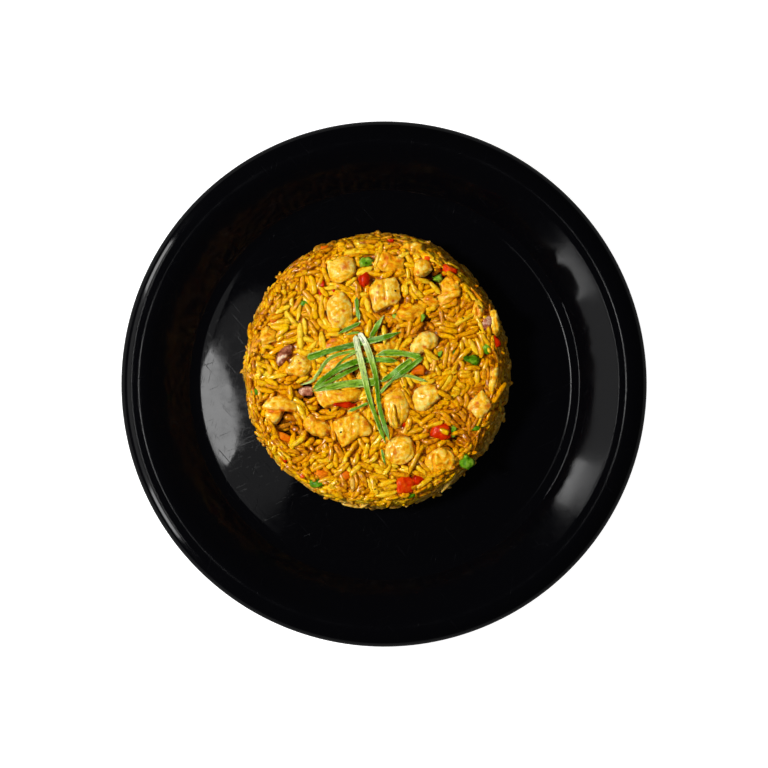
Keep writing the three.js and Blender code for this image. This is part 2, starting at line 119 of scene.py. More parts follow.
def smooth_noise(points, lump, seed):
    """Noise from -1 to 1 over points, with lumps about this size. lump may differ along each axis."""
    grid = np.asarray(points, float) / np.asarray(lump, float) + 1000.5
    base = np.floor(grid).astype(np.int64)
    part = grid - base
    ease = part * part * (3 - 2 * part)
    total = np.zeros(len(grid))
    for corner in range(8):
        step = np.array([corner & 1, corner >> 1 & 1, corner >> 2 & 1])
        weight = np.prod(np.where(step, ease, 1 - ease), axis=1)
        total += weight * scatter_hash(base + step, seed)
    return total


def mesh_object(name, points, faces, attributes=None):
    """A smooth-shaded mesh from points in mm and arrays of faces, with named numbers at each point."""
    groups = faces if isinstance(faces, list) else [faces]
    loops = np.concatenate([np.asarray(group, np.int32).ravel() for group in groups])
    sizes = np.concatenate([np.full(len(group), np.asarray(group).shape[1], np.int32) for group in groups])
    starts = np.concatenate([[0], np.cumsum(sizes)[:-1]]).astype(np.int32)
    mesh = bpy.data.meshes.new(name)
    mesh.vertices.add(len(points))
    mesh.vertices.foreach_set("co", (np.asarray(points, float) * MM).astype(np.float32).ravel())
    mesh.loops.add(len(loops))
    mesh.loops.foreach_set("vertex_index", loops)
    mesh.polygons.add(len(sizes))
    mesh.polygons.foreach_set("loop_start", starts)
    mesh.update(calc_edges=True)
    mesh.validate()
    mesh.shade_smooth()
    for label, values in (attributes or {}).items():
        layer = mesh.attributes.new(label, "FLOAT", "POINT")
        layer.data.foreach_set("value", np.asarray(values, np.float32))
    made = bpy.data.objects.new(name, mesh)
    bpy.context.scene.collection.objects.link(made)
    return made


def serve(piece, material, slot, *replaced):
    """Gives a piece its finish, ties it to the dish's body and hides the solids it replaces."""
    piece.data.materials.clear()
    piece.data.materials.append(material)
    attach(piece, BODY)
    if replaced:
        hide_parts(*replaced)
    return piece


def mesh_points(mesh):
    flat = np.empty(len(mesh.vertices) * 3, np.float32)
    mesh.vertices.foreach_get("co", flat)
    return flat.reshape(-1, 3).astype(float) / MM


def mesh_normals(mesh):
    flat = np.empty(len(mesh.vertices) * 3, np.float32)
    mesh.vertex_normals.foreach_get("vector", flat)
    return flat.reshape(-1, 3).astype(float)


def set_points(mesh, points):
    mesh.vertices.foreach_set("co", (points * MM).astype(np.float32).ravel())
    mesh.update()


def set_attribute(mesh, label, values):
    layer = mesh.attributes.get(label) or mesh.attributes.new(label, "FLOAT", "POINT")
    layer.data.foreach_set("value", np.asarray(values, np.float32))


def joined(parts):
    """Several meshes as one. Each is its points and its faces."""
    starts = np.concatenate([[0], np.cumsum([len(points) for points, _ in parts])[:-1]])
    points = np.vstack([points for points, _ in parts])
    return points, np.vstack([faces + start for (_, faces), start in zip(parts, starts)])


def tube_faces(rings, segments, first=0):
    """Quads between rings of points that follow each other from this index on."""
    here = np.arange(segments)
    there = (here + 1) % segments
    near = first + segments * np.arange(rings - 1)[:, None]
    far = near + segments
    return np.stack([near + here, far + here, far + there, near + there], axis=-1).reshape(-1, 4)


def fan_faces(tip, ring_start, segments, turned_over=False):
    """Triangles between one point and a ring of points."""
    here = ring_start + np.arange(segments)
    there = np.roll(here, -1)
    around = [there, here] if turned_over else [here, there]
    return np.stack([np.full(segments, tip)] + around, axis=1)


def turned_level(points, angle):
    """Points turned level, about Z."""
    c, s = math.cos(angle), math.sin(angle)
    return points @ np.array([[c, -s, 0], [s, c, 0], [0, 0, 1.0]])


# ------------------------------------------------------------------------------------- shader nodes


def fill(tree, node, inputs):
    """Fills a node's inputs, by name or number, with values or with other nodes' outputs."""
    for key, value in inputs.items():
        if isinstance(value, bpy.types.NodeSocket):
            tree.links.new(value, node.inputs[key])
        else:
            node.inputs[key].default_value = value


def place_node(tree, kind, inputs=None, **settings):
    """Adds a node, sets its options and fills its inputs."""
    made = tree.nodes.new(kind)
    for key, value in settings.items():
        setattr(made, key, value)
    fill(tree, made, inputs or {})
    return made


def mix_colours(tree, factor, first, second):
    made = place_node(tree, "ShaderNodeMix", data_type="RGBA")
    fill(tree, made, {0: factor, 6: first, 7: second})
    return made.outputs[2]


def arithmetic(tree, operation, first, second=0.0, clamp=False):
    made = place_node(tree, "ShaderNodeMath", {0: first, 1: second}, operation=operation, use_clamp=clamp)
    return made.outputs[0]


def remap(tree, value, low, high, to_low=0.0, to_high=1.0):
    made = place_node(tree, "ShaderNodeMapRange", {
        "Value": value, "From Min": low, "From Max": high, "To Min": to_low, "To Max": to_high,
    })
    return made.outputs["Result"]


def noise(tree, where, scale, detail, roughness=0.5):
    made = place_node(tree, "ShaderNodeTexNoise", {
        "Vector": where, "Scale": scale, "Detail": detail, "Roughness": roughness,
    })
    return made.outputs["Fac"]


def object_place(tree):
    """Where a point lies in the piece's own frame, in metres."""
    return place_node(tree, "ShaderNodeTexCoord").outputs["Object"]


def attribute_value(tree, label):
    return place_node(tree, "ShaderNodeAttribute", attribute_name=label).outputs["Fac"]


def new_group(name, inputs, outputs):
    """A shader node group with named sockets. Inputs are (label, type, default)."""
    tree = bpy.data.node_groups.new(name, "ShaderNodeTree")
    for label, kind, default in inputs:
        socket = tree.interface.new_socket(label, in_out="INPUT", socket_type=kind)
        socket.default_value = default
    for label, kind in outputs:
        tree.interface.new_socket(label, in_out="OUTPUT", socket_type=kind)
    return tree, tree.nodes.new("NodeGroupInput"), tree.nodes.new("NodeGroupOutput")


def srgb(red, green, blue):
    """A colour as the eye names it, 0 to 255, as the shader's linear colour."""
    parts = [value / 255 for value in (red, green, blue)]
    return tuple(p / 12.92 if p <= 0.04045 else ((p + 0.055) / 1.055) ** 2.4 for p in parts) + (1.0,)


FLOAT = "NodeSocketFloat"
COLOUR = "NodeSocketColor"


def make_cooked_colour():
    """Cooked food is never one colour: paler and deeper patches, and a shade for each piece, which also
    carries painted light and shade where the pieces set it.
    """
    tree, given, result = new_group(
        "cooked_colour",
        [
            ("Main", COLOUR, (0.8, 0.4, 0.05, 1)),
            ("Pale", COLOUR, (0.9, 0.7, 0.3, 1)),
            ("Deep", COLOUR, (0.4, 0.12, 0.01, 1)),
            ("Patch Scale", FLOAT, 300.0),
            ("Shade", FLOAT, 0.5),
            ("Patchiness", FLOAT, 0.5),
        ],
        [("Color", COLOUR)],
    )
    patches = noise(tree, object_place(tree), given.outputs["Patch Scale"], 3.0, 0.6)
    centred = arithmetic(tree, "SUBTRACT", patches, 0.5)
    swing = arithmetic(tree, "MULTIPLY", centred, given.outputs["Patchiness"])
    swing = arithmetic(tree, "MULTIPLY", swing, 3.0)
    shade = arithmetic(tree, "ADD", given.outputs["Shade"], swing, clamp=True)
    lighter = remap(tree, shade, 0.5, 1.0)
    darker = remap(tree, shade, 0.5, 0.0)
    colour = mix_colours(tree, lighter, given.outputs["Main"], given.outputs["Pale"])
    colour = mix_colours(tree, darker, colour, given.outputs["Deep"])
    fill(tree, result, {"Color": colour})
    return tree


def make_moist_relief():
    """Fine lumps under pools of oil: a height for the bump, a roughness that goes with it, and the oil."""
    tree, given, result = new_group(
        "moist_relief",
        [
            ("Lump Scale", FLOAT, 500.0),
            ("Fine Scale", FLOAT, 2500.0),
            ("Wet Roughness", FLOAT, 0.2),
            ("Dry Roughness", FLOAT, 0.5),
            ("Oil", FLOAT, 0.5),
        ],
        [("Height", FLOAT), ("Roughness", FLOAT), ("Film", FLOAT)],
    )
    where = object_place(tree)
    pools = noise(tree, where, 330.0, 2.0)
    film = arithmetic(tree, "MULTIPLY", remap(tree, pools, 0.44, 0.6), given.outputs["Oil"])
    lumps = noise(tree, where, given.outputs["Lump Scale"], 2.0)
    fine = noise(tree, where, given.outputs["Fine Scale"], 2.0)
    coarse_part = arithmetic(tree, "MULTIPLY", lumps, 0.7)
    fine_part = arithmetic(tree, "MULTIPLY", fine, 0.3)
    height = arithmetic(tree, "ADD", coarse_part, fine_part)
    wet, dry = given.outputs["Wet Roughness"], given.outputs["Dry Roughness"]
    span = arithmetic(tree, "SUBTRACT", dry, wet)
    dryness = arithmetic(tree, "MULTIPLY", remap(tree, lumps, 0.35, 0.65), span)
    roughness = arithmetic(tree, "ADD", wet, dryness)
    fill(tree, result, {"Film": film, "Height": height, "Roughness": roughness})
    return tree


def make_speckle():
    """Small round specks, such as ground pepper or browned dots, as a mask."""
    tree, given, result = new_group(
        "speckle",
        [("Scale", FLOAT, 400.0), ("Speck Size", FLOAT, 0.15)],
        [("Mask", FLOAT)],
    )
    cells = place_node(tree, "ShaderNodeTexVoronoi", {
        "Vector": object_place(tree), "Scale": given.outputs["Scale"], "Randomness": 1.0,
    }).outputs["Distance"]
    edge = arithmetic(tree, "SUBTRACT", given.outputs["Speck Size"], cells)
    fill(tree, result, {"Mask": arithmetic(tree, "MULTIPLY", edge, 12.0, clamp=True)})
    return tree


COOKED_COLOUR = make_cooked_colour()
MOIST_RELIEF = make_moist_relief()
SPECKLE = make_speckle()


FOOD_FLESH = (1.0, 0.45, 0.12)  # how far red, green and blue light soak into food
LEAF_FLESH = (0.5, 1.0, 0.15)


def use_group(tree, group, inputs):
    return place_node(tree, "ShaderNodeGroup", inputs, node_tree=group)


def new_material(name):
    material = bpy.data.materials.new(name)
    material.use_nodes = True
    tree = material.node_tree
    return material, tree, tree.nodes["Principled BSDF"]


def add_bump(tree, shader, height, distance, strength=1.0):
    """Relief from a height. distance is in mm."""
    bump = place_node(tree, "ShaderNodeBump", {
        "Height": height, "Strength": strength, "Distance": distance * MM,
    })
    fill(tree, shader, {"Normal": bump.outputs["Normal"]})


def add_flesh(tree, shader, weight, radius, scale):
    """Light that soaks into the food. radius is the share of red, green and blue, scale is in mm."""
    fill(tree, shader, {
        "Subsurface Weight": weight, "Subsurface Radius": radius, "Subsurface Scale": scale * MM,
    })


def food_material(name, tints, patch_scale=350.0, patchiness=0.5, wet=0.22, dry=0.5, lump_scale=600.0,
                  fine_scale=2600.0, relief=0.12, flesh=0.15, flesh_depth=1.2, film=0.2):
    """The common build of the moist foods: patchy colour, relief, a soft inside and an oily film.
    tints are its main, its pale and its deep colour. relief and flesh_depth are in mm."""
    material, tree, shader = new_material(name)
    main, pale, deep = (srgb(*tint) for tint in tints)
    colour = use_group(tree, COOKED_COLOUR, {
        "Main": main, "Pale": pale, "Deep": deep, "Patch Scale": patch_scale,
        "Patchiness": patchiness, "Shade": attribute_value(tree, "shade"),
    }).outputs["Color"]
    skin = use_group(tree, MOIST_RELIEF, {
        "Lump Scale": lump_scale, "Fine Scale": fine_scale, "Wet Roughness": wet, "Dry Roughness": dry,
        "Oil": film,
    })
    fill(tree, shader, {
        "Base Color": colour, "Roughness": skin.outputs["Roughness"], "IOR": 1.4, "Specular IOR Level": 0.04,
        "Coat Weight": skin.outputs["Film"], "Coat Roughness": 0.09,
    })
    add_bump(tree, shader, skin.outputs["Height"], relief)
    add_flesh(tree, shader, flesh, FOOD_FLESH, flesh_depth)
    return material, tree, shader, colour


# Each finish of rice and sauce: its main, pale and deep colour, how patchy it is, and how oily.
RICE_FINISHES = {
    "golden_rice": (((232, 160, 0), (250, 194, 4), (180, 98, 0)), 0.9, 1.0),
    "pale_rice": (((240, 182, 2), (252, 212, 50), (200, 124, 0)), 0.9, 0.9),
    "saucy_rice": (((222, 142, 0), (240, 172, 0), (158, 78, 0)), 0.9, 1.0),
    "dry_rice": (((220, 156, 30), (242, 200, 92), (176, 108, 10)), 0.8, 0.6),
    # The core's colours are dark as painted shade in the gaps between the grains.
    "core_with_painted_shade": (((90, 40, 4), (150, 80, 8), (30, 12, 2)), 0.6, 0.1),
    # The sauce is partly its own colour and partly painted shade: its deep colour darkens it where it lies
    # deep.
    "oily_sauce": (((172, 94, 0), (216, 138, 4), (44, 17, 0)), 0.7, 0.9),
}
GRAIN_KINDS = ("golden", "pale", "saucy", "dry")

# Each vegetable's finish: its name, its main, pale and deep colour, and where it differs from other food.
VEGETABLE_FINISHES = {
    "red_pepper": (
        "red_pepper_flesh", ((210, 40, 0), (240, 98, 8), (140, 20, 0)),
        dict(patch_scale=300.0, wet=0.12, dry=0.4, relief=0.1, film=0.15),
    ),
    "carrot": (
        "cooked_carrot", ((228, 108, 0), (246, 150, 26), (180, 66, 0)),
        dict(patch_scale=400.0, wet=0.2, dry=0.45, relief=0.1, film=0.1),
    ),
    "onion": (
        "browned_onion", ((178, 108, 76), (238, 206, 170), (108, 50, 28)),
        dict(patch_scale=380.0, patchiness=0.9, wet=0.1, dry=0.35, relief=0.12, film=0.3),
    ),
    "green": (
        "chopped_greens", ((90, 146, 8), (160, 192, 62), (44, 84, 0)),
        dict(patch_scale=420.0, patchiness=0.7, wet=0.2, dry=0.5, relief=0.12, film=0.1),
    ),
}


def rice_material(name, tints, patchiness, film):
    return food_material(
        name, tints, patch_scale=620.0, patchiness=patchiness, wet=0.14, dry=0.55, lump_scale=800.0,
        fine_scale=2400.0, relief=0.22, flesh=0.15, flesh_depth=0.8, film=film,
    )[0]


def chicken_material():
    """Pale cooked meat, glazed yellow, with browned patches and a little ground pepper."""
    material, tree, shader, colour = food_material(
        "glazed_chicken", ((252, 188, 26), (255, 231, 124), (232, 136, 0)),
        patch_scale=460.0, patchiness=0.7, wet=0.18, dry=0.5, lump_scale=700.0, fine_scale=2000.0,
        relief=0.18, flesh=0.25, flesh_depth=1.4, film=0.7,
    )
    patches = noise(tree, object_place(tree), 420.0, 4.0, 0.65)
    spots = arithmetic(tree, "MULTIPLY", attribute_value(tree, "browning"), 0.42)
    browned = remap(tree, arithmetic(tree, "ADD", patches, spots), 0.6, 0.96, 0.0, 0.9)
    colour = mix_colours(tree, browned, colour, srgb(206, 82, 6))
    specks = use_group(tree, SPECKLE, {"Scale": 210.0, "Speck Size": 0.08}).outputs["Mask"]
    colour = mix_colours(tree, specks, colour, srgb(60, 32, 14))
    fill(tree, shader, {"Base Color": colour})
    return material


# A leaf's colour at each tone, from 0 (deep green) to 1 (the white of the stem).
LEAF_TONES = (
    (0.0, (62, 116, 0)), (0.3, (98, 156, 0)), (0.55, (126, 172, 20)), (0.75, (188, 208, 104)),
    (1.0, (246, 246, 214)),
)


def leaf_tone(tree):
    """The leaf's colour from its tone."""
    ramp = place_node(tree, "ShaderNodeValToRGB", {"Fac": attribute_value(tree, "tone")})
    elements = ramp.color_ramp.elements
    for element, (position, tint) in zip(elements, (LEAF_TONES[0], LEAF_TONES[-1])):
        element.position = position
        element.color = srgb(*tint)
    for position, tint in LEAF_TONES[1:-1]:
        elements.new(position).color = srgb(*tint)
    return ramp.outputs["Color"]


def scallion_material():
    """Leaf shreds: a tone from deep green to cream along each, fine ribs along it, and paler edges that are
    partly the cut's own colour and partly painted highlight.
    """
    material, tree, shader = new_material("spring_onion")
    across = attribute_value(tree, "across")
    run = attribute_value(tree, "run")
    slow_run = arithmetic(tree, "MULTIPLY", run, 0.06)
    along_ribs = place_node(tree, "ShaderNodeCombineXYZ", {"X": across, "Y": slow_run})
    ribs = arithmetic(tree, "MULTIPLY", noise(tree, along_ribs.outputs["Vector"], 2.6, 3.0, 0.6), 0.7)
    mottle = arithmetic(tree, "MULTIPLY", noise(tree, object_place(tree), 700.0, 3.0, 0.7), 0.3)
    grained = arithmetic(tree, "ADD", ribs, mottle)
    deeper = remap(tree, grained, 0.49, 0.63, 0.0, 0.85)
    paler = remap(tree, grained, 0.46, 0.32, 0.0, 0.8)
    colour = mix_colours(tree, deeper, leaf_tone(tree), srgb(34, 76, 0))
    colour = mix_colours(tree, paler, colour, srgb(186, 212, 88))
    # Paler edges, partly the cut edge's own colour and partly painted highlight, broken into patches along
    # the edge.
    edge = remap(tree, arithmetic(tree, "ABSOLUTE", across), 0.6, 0.95)
    along_edge = place_node(tree, "ShaderNodeCombineXYZ", {"X": arithmetic(tree, "SIGN", across), "Y": run})
    patchy_edge_noise = noise(tree, along_edge.outputs["Vector"], 0.33, 3.0, 0.7)
    edge = arithmetic(tree, "MULTIPLY", edge, remap(tree, patchy_edge_noise, 0.42, 0.6))
    colour = mix_colours(tree, edge, colour, srgb(204, 226, 126))
    fill(tree, shader, {"Base Color": colour, "Roughness": 0.4, "Specular IOR Level": 0.2})
    add_bump(tree, shader, grained, 0.1)
    add_flesh(tree, shader, 0.12, LEAF_FLESH, 0.5)
    return material


SCRATCH_TURNS = ((0.4, 60.0), (1.35, 75.0), (2.3, 52.0))  # each layer's direction and how fine it is


def scratch_marks(tree, where):
    """Fine straight scratches in a few directions, as a mask."""
    scratches = 0.0
    for turn, scale in SCRATCH_TURNS:
        stretched = place_node(
            tree, "ShaderNodeMapping",
            {"Vector": where, "Rotation": (0.0, 0.0, turn), "Scale": (1.0, 0.03, 1.0)}, vector_type="TEXTURE",
        ).outputs["Vector"]
        marks = remap(tree, noise(tree, stretched, scale, 2.0, 0.7), 0.68, 0.76)
        scratches = arithmetic(tree, "MAXIMUM", scratches, marks)
    return scratches


def plate_material():
    """Glossy black melamine, hazed by many fine scratches and smears. The wall is duller than the well."""
    material, tree, shader = new_material("black_melamine")
    where = object_place(tree)
    scratches = scratch_marks(tree, where)
    smears = noise(tree, where, 45.0, 5.0, 0.65)
    length = place_node(tree, "ShaderNodeVectorMath", {"Vector": where}, operation="LENGTH")
    from_middle = length.outputs["Value"]
    smeared = remap(tree, smears, 0.4, 0.66, 0.014, 0.085)
    haze = arithmetic(tree, "ADD", smeared, remap(tree, from_middle, 0.088, 0.1, 0.0, 0.07))
    roughness = arithmetic(tree, "ADD", haze, arithmetic(tree, "MULTIPLY", scratches, 0.08))
    scratch_tint = arithmetic(tree, "MULTIPLY", scratches, 0.5)
    colour = mix_colours(tree, scratch_tint, srgb(4, 4, 6), srgb(18, 18, 20))
    fill(tree, shader, {"Base Color": colour, "Roughness": roughness, "IOR": 1.5, "Specular IOR Level": 0.1})
    add_bump(tree, shader, arithmetic(tree, "SUBTRACT", smears, scratches), 0.01, 0.4)
    return material


# -------------------------------------------------------------------------------------------- plate


def section_arc(across, height, radius, start, end, steps):
    turns = np.linspace(start, end, steps + 1)
    return [(across + radius * math.cos(t), height + radius * math.sin(t)) for t in turns]


def plate_section():
    """The plate's section from the axis over the lip and back to the axis, as radius and height."""
    quarter = math.pi / 2
    edge_radius = PLATE_THICKNESS / 2
    edge_across = PLATE_RADIUS - edge_radius
    lip_across = edge_across - (LIP_RADIUS - edge_radius) * math.cos(LIP_END)
    fillet_height = FLOOR_TOP + FILLET_RADIUS
    foot_height = fillet_height - FILLET_RADIUS * math.cos(WALL_SLOPE)
    wall_foot = WELL_RADIUS + FILLET_RADIUS * math.sin(WALL_SLOPE)
    wall_head = lip_across - LIP_RADIUS * math.sin(WALL_SLOPE)
    head_height = foot_height + (wall_head - wall_foot) * math.tan(WALL_SLOPE)
    lip_height = head_height - LIP_RADIUS * math.cos(WALL_SLOPE)
    edge_height = lip_height + (LIP_RADIUS - edge_radius) * math.sin(LIP_END)
    lip_start = quarter + WALL_SLOPE
    under = FLOOR_TOP - PLATE_THICKNESS
    section = [(r, FLOOR_TOP) for r in np.linspace(0, WELL_RADIUS, 30)[:-1]]
    section += section_arc(WELL_RADIUS, fillet_height, FILLET_RADIUS, -quarter, WALL_SLOPE - quarter, 14)
    section += section_arc(lip_across, lip_height, LIP_RADIUS, lip_start, LIP_END, 26)
    section += section_arc(edge_across, edge_height, edge_radius, LIP_END, LIP_END - math.pi, 14)[1:]
    section += section_arc(lip_across, lip_height, LIP_RADIUS - PLATE_THICKNESS, LIP_END, lip_start, 16)[1:]
    outer_fillet = FILLET_RADIUS + PLATE_THICKNESS
    section += section_arc(WELL_RADIUS, fillet_height, outer_fillet, WALL_SLOPE - quarter, -quarter, 10)
    outer, inner = FOOT_RADIUS + FOOT_WIDTH / 2, FOOT_RADIUS - FOOT_WIDTH / 2
    foot = [(0.8, under), (0.2, under - 0.5), (0.0, 0.5), (-0.5, 0.0)]  # one side of the foot ring
    section += [(outer + out, height) for out, height in foot]
    section += [(inner - out, height) for out, height in foot[::-1]]
    return section + [(0, under)]


def turned(section, segments):
    """Points and faces of a solid turned about Z from a section that starts and ends on the axis."""
    ring = np.linspace(0, 2 * math.pi, segments, endpoint=False)
    inner = np.array(section[1:-1])
    across, up = inner[:, 0:1], np.repeat(inner[:, 1:2], segments, axis=1)
    rings = np.stack([across * np.cos(ring), across * np.sin(ring), up], axis=-1).reshape(-1, 3)
    points = np.vstack([rings, [(0, 0, section[0][1]), (0, 0, section[-1][1])]])
    return points, closed_tube(len(inner), segments)


def closed_tube(rings, segments):
    """Faces of a tube of rings whose two end points follow the rings."""
    count = rings * segments
    caps = np.vstack([
        fan_faces(count, 0, segments),
        fan_faces(count + 1, count - segments, segments, turned_over=True),
    ])
    return [tube_faces(rings, segments), caps]


def make_plate():
    points, faces = turned(plate_section(), PLATE_SEGMENTS)
    serve(mesh_object("dinner_plate", points, faces), plate_material(), "plate", "plate")


# --------------------------------------------------------------------------------- the heap's form


def out_of_round(angle):
    """The heap is a little longer across the photograph's height than its width."""
    return 1 - 0.02 * np.cos(2 * angle) + 0.006 * np.sin(5 * angle + 2.2)


def lean_at(height):
    return -HEAP_LEAN * (height - FLOOR_TOP) / (CROWN - 1 - FLOOR_TOP)


SHOULDER_RADII = (0.0, SHOULDER, 60.2, 61.6, 62.6, 63.4)
SHOULDER_DROPS = (0.0, 0.0, 1.1, 3.2, 6.5, 12.0)


def from_top_middle(x, y):
    """The distance and the bearing of a place from the middle of the heap's top."""
    across, along = x - HEAP_X + HEAP_LEAN, y - HEAP_Y
    return np.hypot(across, along), np.arctan2(along, across)


def top_limit(x, y):
    """The height of the mould's surface over a place on the plate."""
    radius, bearing = from_top_middle(x, y)
    radius = radius / out_of_round(bearing)
    crown = CROWN - CROWN_DROP * np.minimum(1, radius / SHOULDER) ** 2
    return crown - np.interp(radius, SHOULDER_RADII, SHOULDER_DROPS)


def side_limit(angle, height):
    """The radius of the mould's wall at a bearing and height."""
    return np.interp(height, SIDE_HEIGHTS, SIDE_RADII) * out_of_round(angle)


def depth_within(points):
    """How far points lie inside the mould's surface."""
    down = top_limit(points[:, 0], points[:, 1]) - points[:, 2]
    across, along = points[:, 0] - HEAP_X - lean_at(points[:, 2]), points[:, 1] - HEAP_Y
    inward = side_limit(np.arctan2(along, across), points[:, 2]) - np.hypot(across, along)
    return np.minimum(down, inward)


# Hollows in the top where grains have fallen away: middle, radius and depth.
HOLLOWS = (
    (-46.0, -20.5, 7.0, 3.2), (-37.0, -4.0, 5.0, 3.0), (-12.0, 7.0, 4.0, 2.6), (24.0, 51.0, 5.0, 2.6),
    (23.0, 30.5, 4.0, 2.0), (-29.5, -11.0, 4.0, 2.0), (34.0, -28.0, 4.0, 2.0), (51.0, -21.0, 6.0, 2.6),
    (-33.0, -27.0, 4.5, 2.0), (0.0, 25.5, 4.0, 1.6), (49.0, 42.0, 4.0, 2.0), (-57.0, -14.0, 4.0, 2.0),
)


def hollows_at(x, y):
    depth = np.zeros_like(x)
    for middle_x, middle_y, radius, fall in HOLLOWS:
        far = np.hypot(x - middle_x, y - middle_y) / radius
        depth = np.maximum(depth, 1.4 * fall * np.clip(1.3 - far, 0, 1))
    return depth


# ------------------------------------------------------------------------------------------- charts


class Chart:
    """A grid of heights that grains settle on: the heap's top seen from above, or its side unrolled."""

    CELL = 0.4

    def __init__(self, low, high, wraps=False):
        self.low = np.array(low, float)
        self.shape = tuple(int(math.ceil((b - a) / self.CELL)) + 1 for a, b in zip(low, high))
        self.wraps = wraps
        self.height = np.zeros(self.shape)
        self.limit = np.zeros(self.shape)
        self.closed = np.zeros(self.shape, bool)
        self.lie = np.zeros(self.shape)

    def grid(self):
        u = self.low[0] + self.CELL * np.arange(self.shape[0])
        v = self.low[1] + self.CELL * np.arange(self.shape[1])
        return np.meshgrid(u, v, indexing="ij")

    def cells(self, u, v):
        column = np.rint((u - self.low[0]) / self.CELL).astype(int)
        row = np.rint((v - self.low[1]) / self.CELL).astype(int)
        column = column % self.shape[0] if self.wraps else np.clip(column, 0, self.shape[0] - 1)
        return column, np.clip(row, 0, self.shape[1] - 1)

    def raise_to(self, u, v, heights):
        column, row = self.cells(u, v)
        np.maximum.at(self.height, (column, row), heights)


ALONG = np.linspace(-0.42, 0.42, 7)  # where a grain feels what is under it, in its lengths and widths
ACROSS = np.array([-0.28, 0.0, 0.28])
GRAIN_LENGTH = (8.7, 2.1, 4.2, 13.0)  # the middle, the spread, the least and the most
GRAIN_WIDTH = (2.9, 0.27, 2.3, 3.5)
GRAIN_FLATNESS = (0.66, 0.84)
GRAIN_SINK = (0.5, 1.3)  # soft grains press into each other this far
TRIES = 12
LEAST_ROOM = 0.35


def try_grains(chart, u, v, spins, size, sink):
    """Where a grain would come to rest for each of several places and spins.
    Gives its middle, its slope, its roll and how far it stands over the limit, or nan where blocked."""
    length, width, thickness = size
    c, s = np.cos(spins)[:, None, None], np.sin(spins)[:, None, None]
    a = (ALONG * length)[None, :, None]
    b = (ACROSS * width)[None, None, :]
    column, row = chart.cells(u[:, None, None] + a * c - b * s, v[:, None, None] + a * s + b * c)
    blocked = chart.closed[column, row].mean(axis=(1, 2)) > 0.25
    under = chart.height[column, row]
    ridge = under.max(axis=2)
    reach = ALONG * length
    run = reach[None, 4:] - reach[:3, None]
    gradient = (ridge[:, None, 4:] - ridge[:, :3, None]) / run
    held = (ridge[:, :3, None] - gradient * reach[:3, None]).reshape(len(spins), 9)
    best = held.argmax(axis=1)
    each = np.arange(len(spins))
    tips = held[each, best] > ridge[:, 3]
    rest = np.where(tips, held[each, best], ridge[:, 3])
    slope = np.clip(np.where(tips, gradient.reshape(-1, 9)[each, best], 0), -0.5, 0.5)
    roll = np.clip(0.5 * (under[:, :, 2] - under[:, :, 0]).mean(axis=1) / (0.56 * width), -0.4, 0.4)
    middle = rest + thickness / 2 - sink
    limit = chart.limit[column[:, :, 1], row[:, :, 1]]
    over = (middle[:, None] + slope[:, None] * reach + thickness / 2 - limit).max(axis=1)
    return middle, slope, roll, np.where(blocked, np.nan, over)


def lay_grain(chart, u, v, spin, size, rest):
    """Raises the chart by a grain's top."""
    length, width, thickness = size
    middle, slope, roll = rest
    c, s = math.cos(spin), math.sin(spin)
    a = np.linspace(-0.5, 0.5, int(length / 0.38) + 2)[:, None] * length
    b = np.linspace(-0.5, 0.5, int(width / 0.38) + 2)[None, :] * width
    ends = np.sqrt(np.clip(1 - np.abs(2 * a / length) ** 3, 0, 1))
    sides = np.sqrt(np.clip(1 - (2 * b / width) ** 2, 0, 1))
    tops = middle + slope * a + roll * b + thickness / 2 * ends * sides
    chart.raise_to(u + a * c - b * s, v + a * s + b * c, tops)


def drawn(random, middle, spread, least, most):
    return float(np.clip(random.normal(middle, spread), least, most))


def settle(chart, random, tolerance):
    """Fills a chart up to its limit, at the lowest of a handful of places that may still take a grain."""
    laid = []
    u, v = (axis[::2, ::2].ravel() for axis in chart.grid())
    column, row = chart.cells(u, v)
    waiting = np.flatnonzero(~chart.closed[column, row])
    while len(waiting) > 20:
        picks = random.integers(0, len(waiting), 60)
        sites = waiting[picks]
        room = chart.limit[column[sites], row[sites]] - chart.height[column[sites], row[sites]]
        if room.max() < LEAST_ROOM:
            columns, rows = column[waiting], row[waiting]
            waiting = waiting[chart.limit[columns, rows] - chart.height[columns, rows] > LEAST_ROOM]
            continue
        pick = int(room.argmax())
        site = sites[pick]
        length = drawn(random, *GRAIN_LENGTH)
        width = drawn(random, *GRAIN_WIDTH)
        size = (length, width, width * random.uniform(*GRAIN_FLATNESS))
        spins = chart.lie[column[site], row[site]] + random.normal(0, 0.8, TRIES)
        near_u = u[site] + random.uniform(-1.4, 1.4, TRIES)
        near_v = v[site] + random.uniform(-1.4, 1.4, TRIES)
        sink = random.uniform(*GRAIN_SINK)
        middle, slope, roll, over = try_grains(chart, near_u, near_v, spins, size, sink)
        fits = np.flatnonzero(over < tolerance * random.uniform(0.5, 1.5))
        if len(fits) == 0:
            waiting = np.delete(waiting, picks[pick])
            continue
        best = fits[middle[fits].argmin()]
        rest = (middle[best], slope[best], roll[best])
        lay_grain(chart, near_u[best], near_v[best], spins[best], size, rest)
        laid.append((near_u[best], near_v[best], spins[best], size, rest))
    return laid


# ------------------------------------------------------------------------------------------- grains

RINGS = 7  # of points along a grain
SIDES = 8  # points round it
SHAPES = 20  # different grains


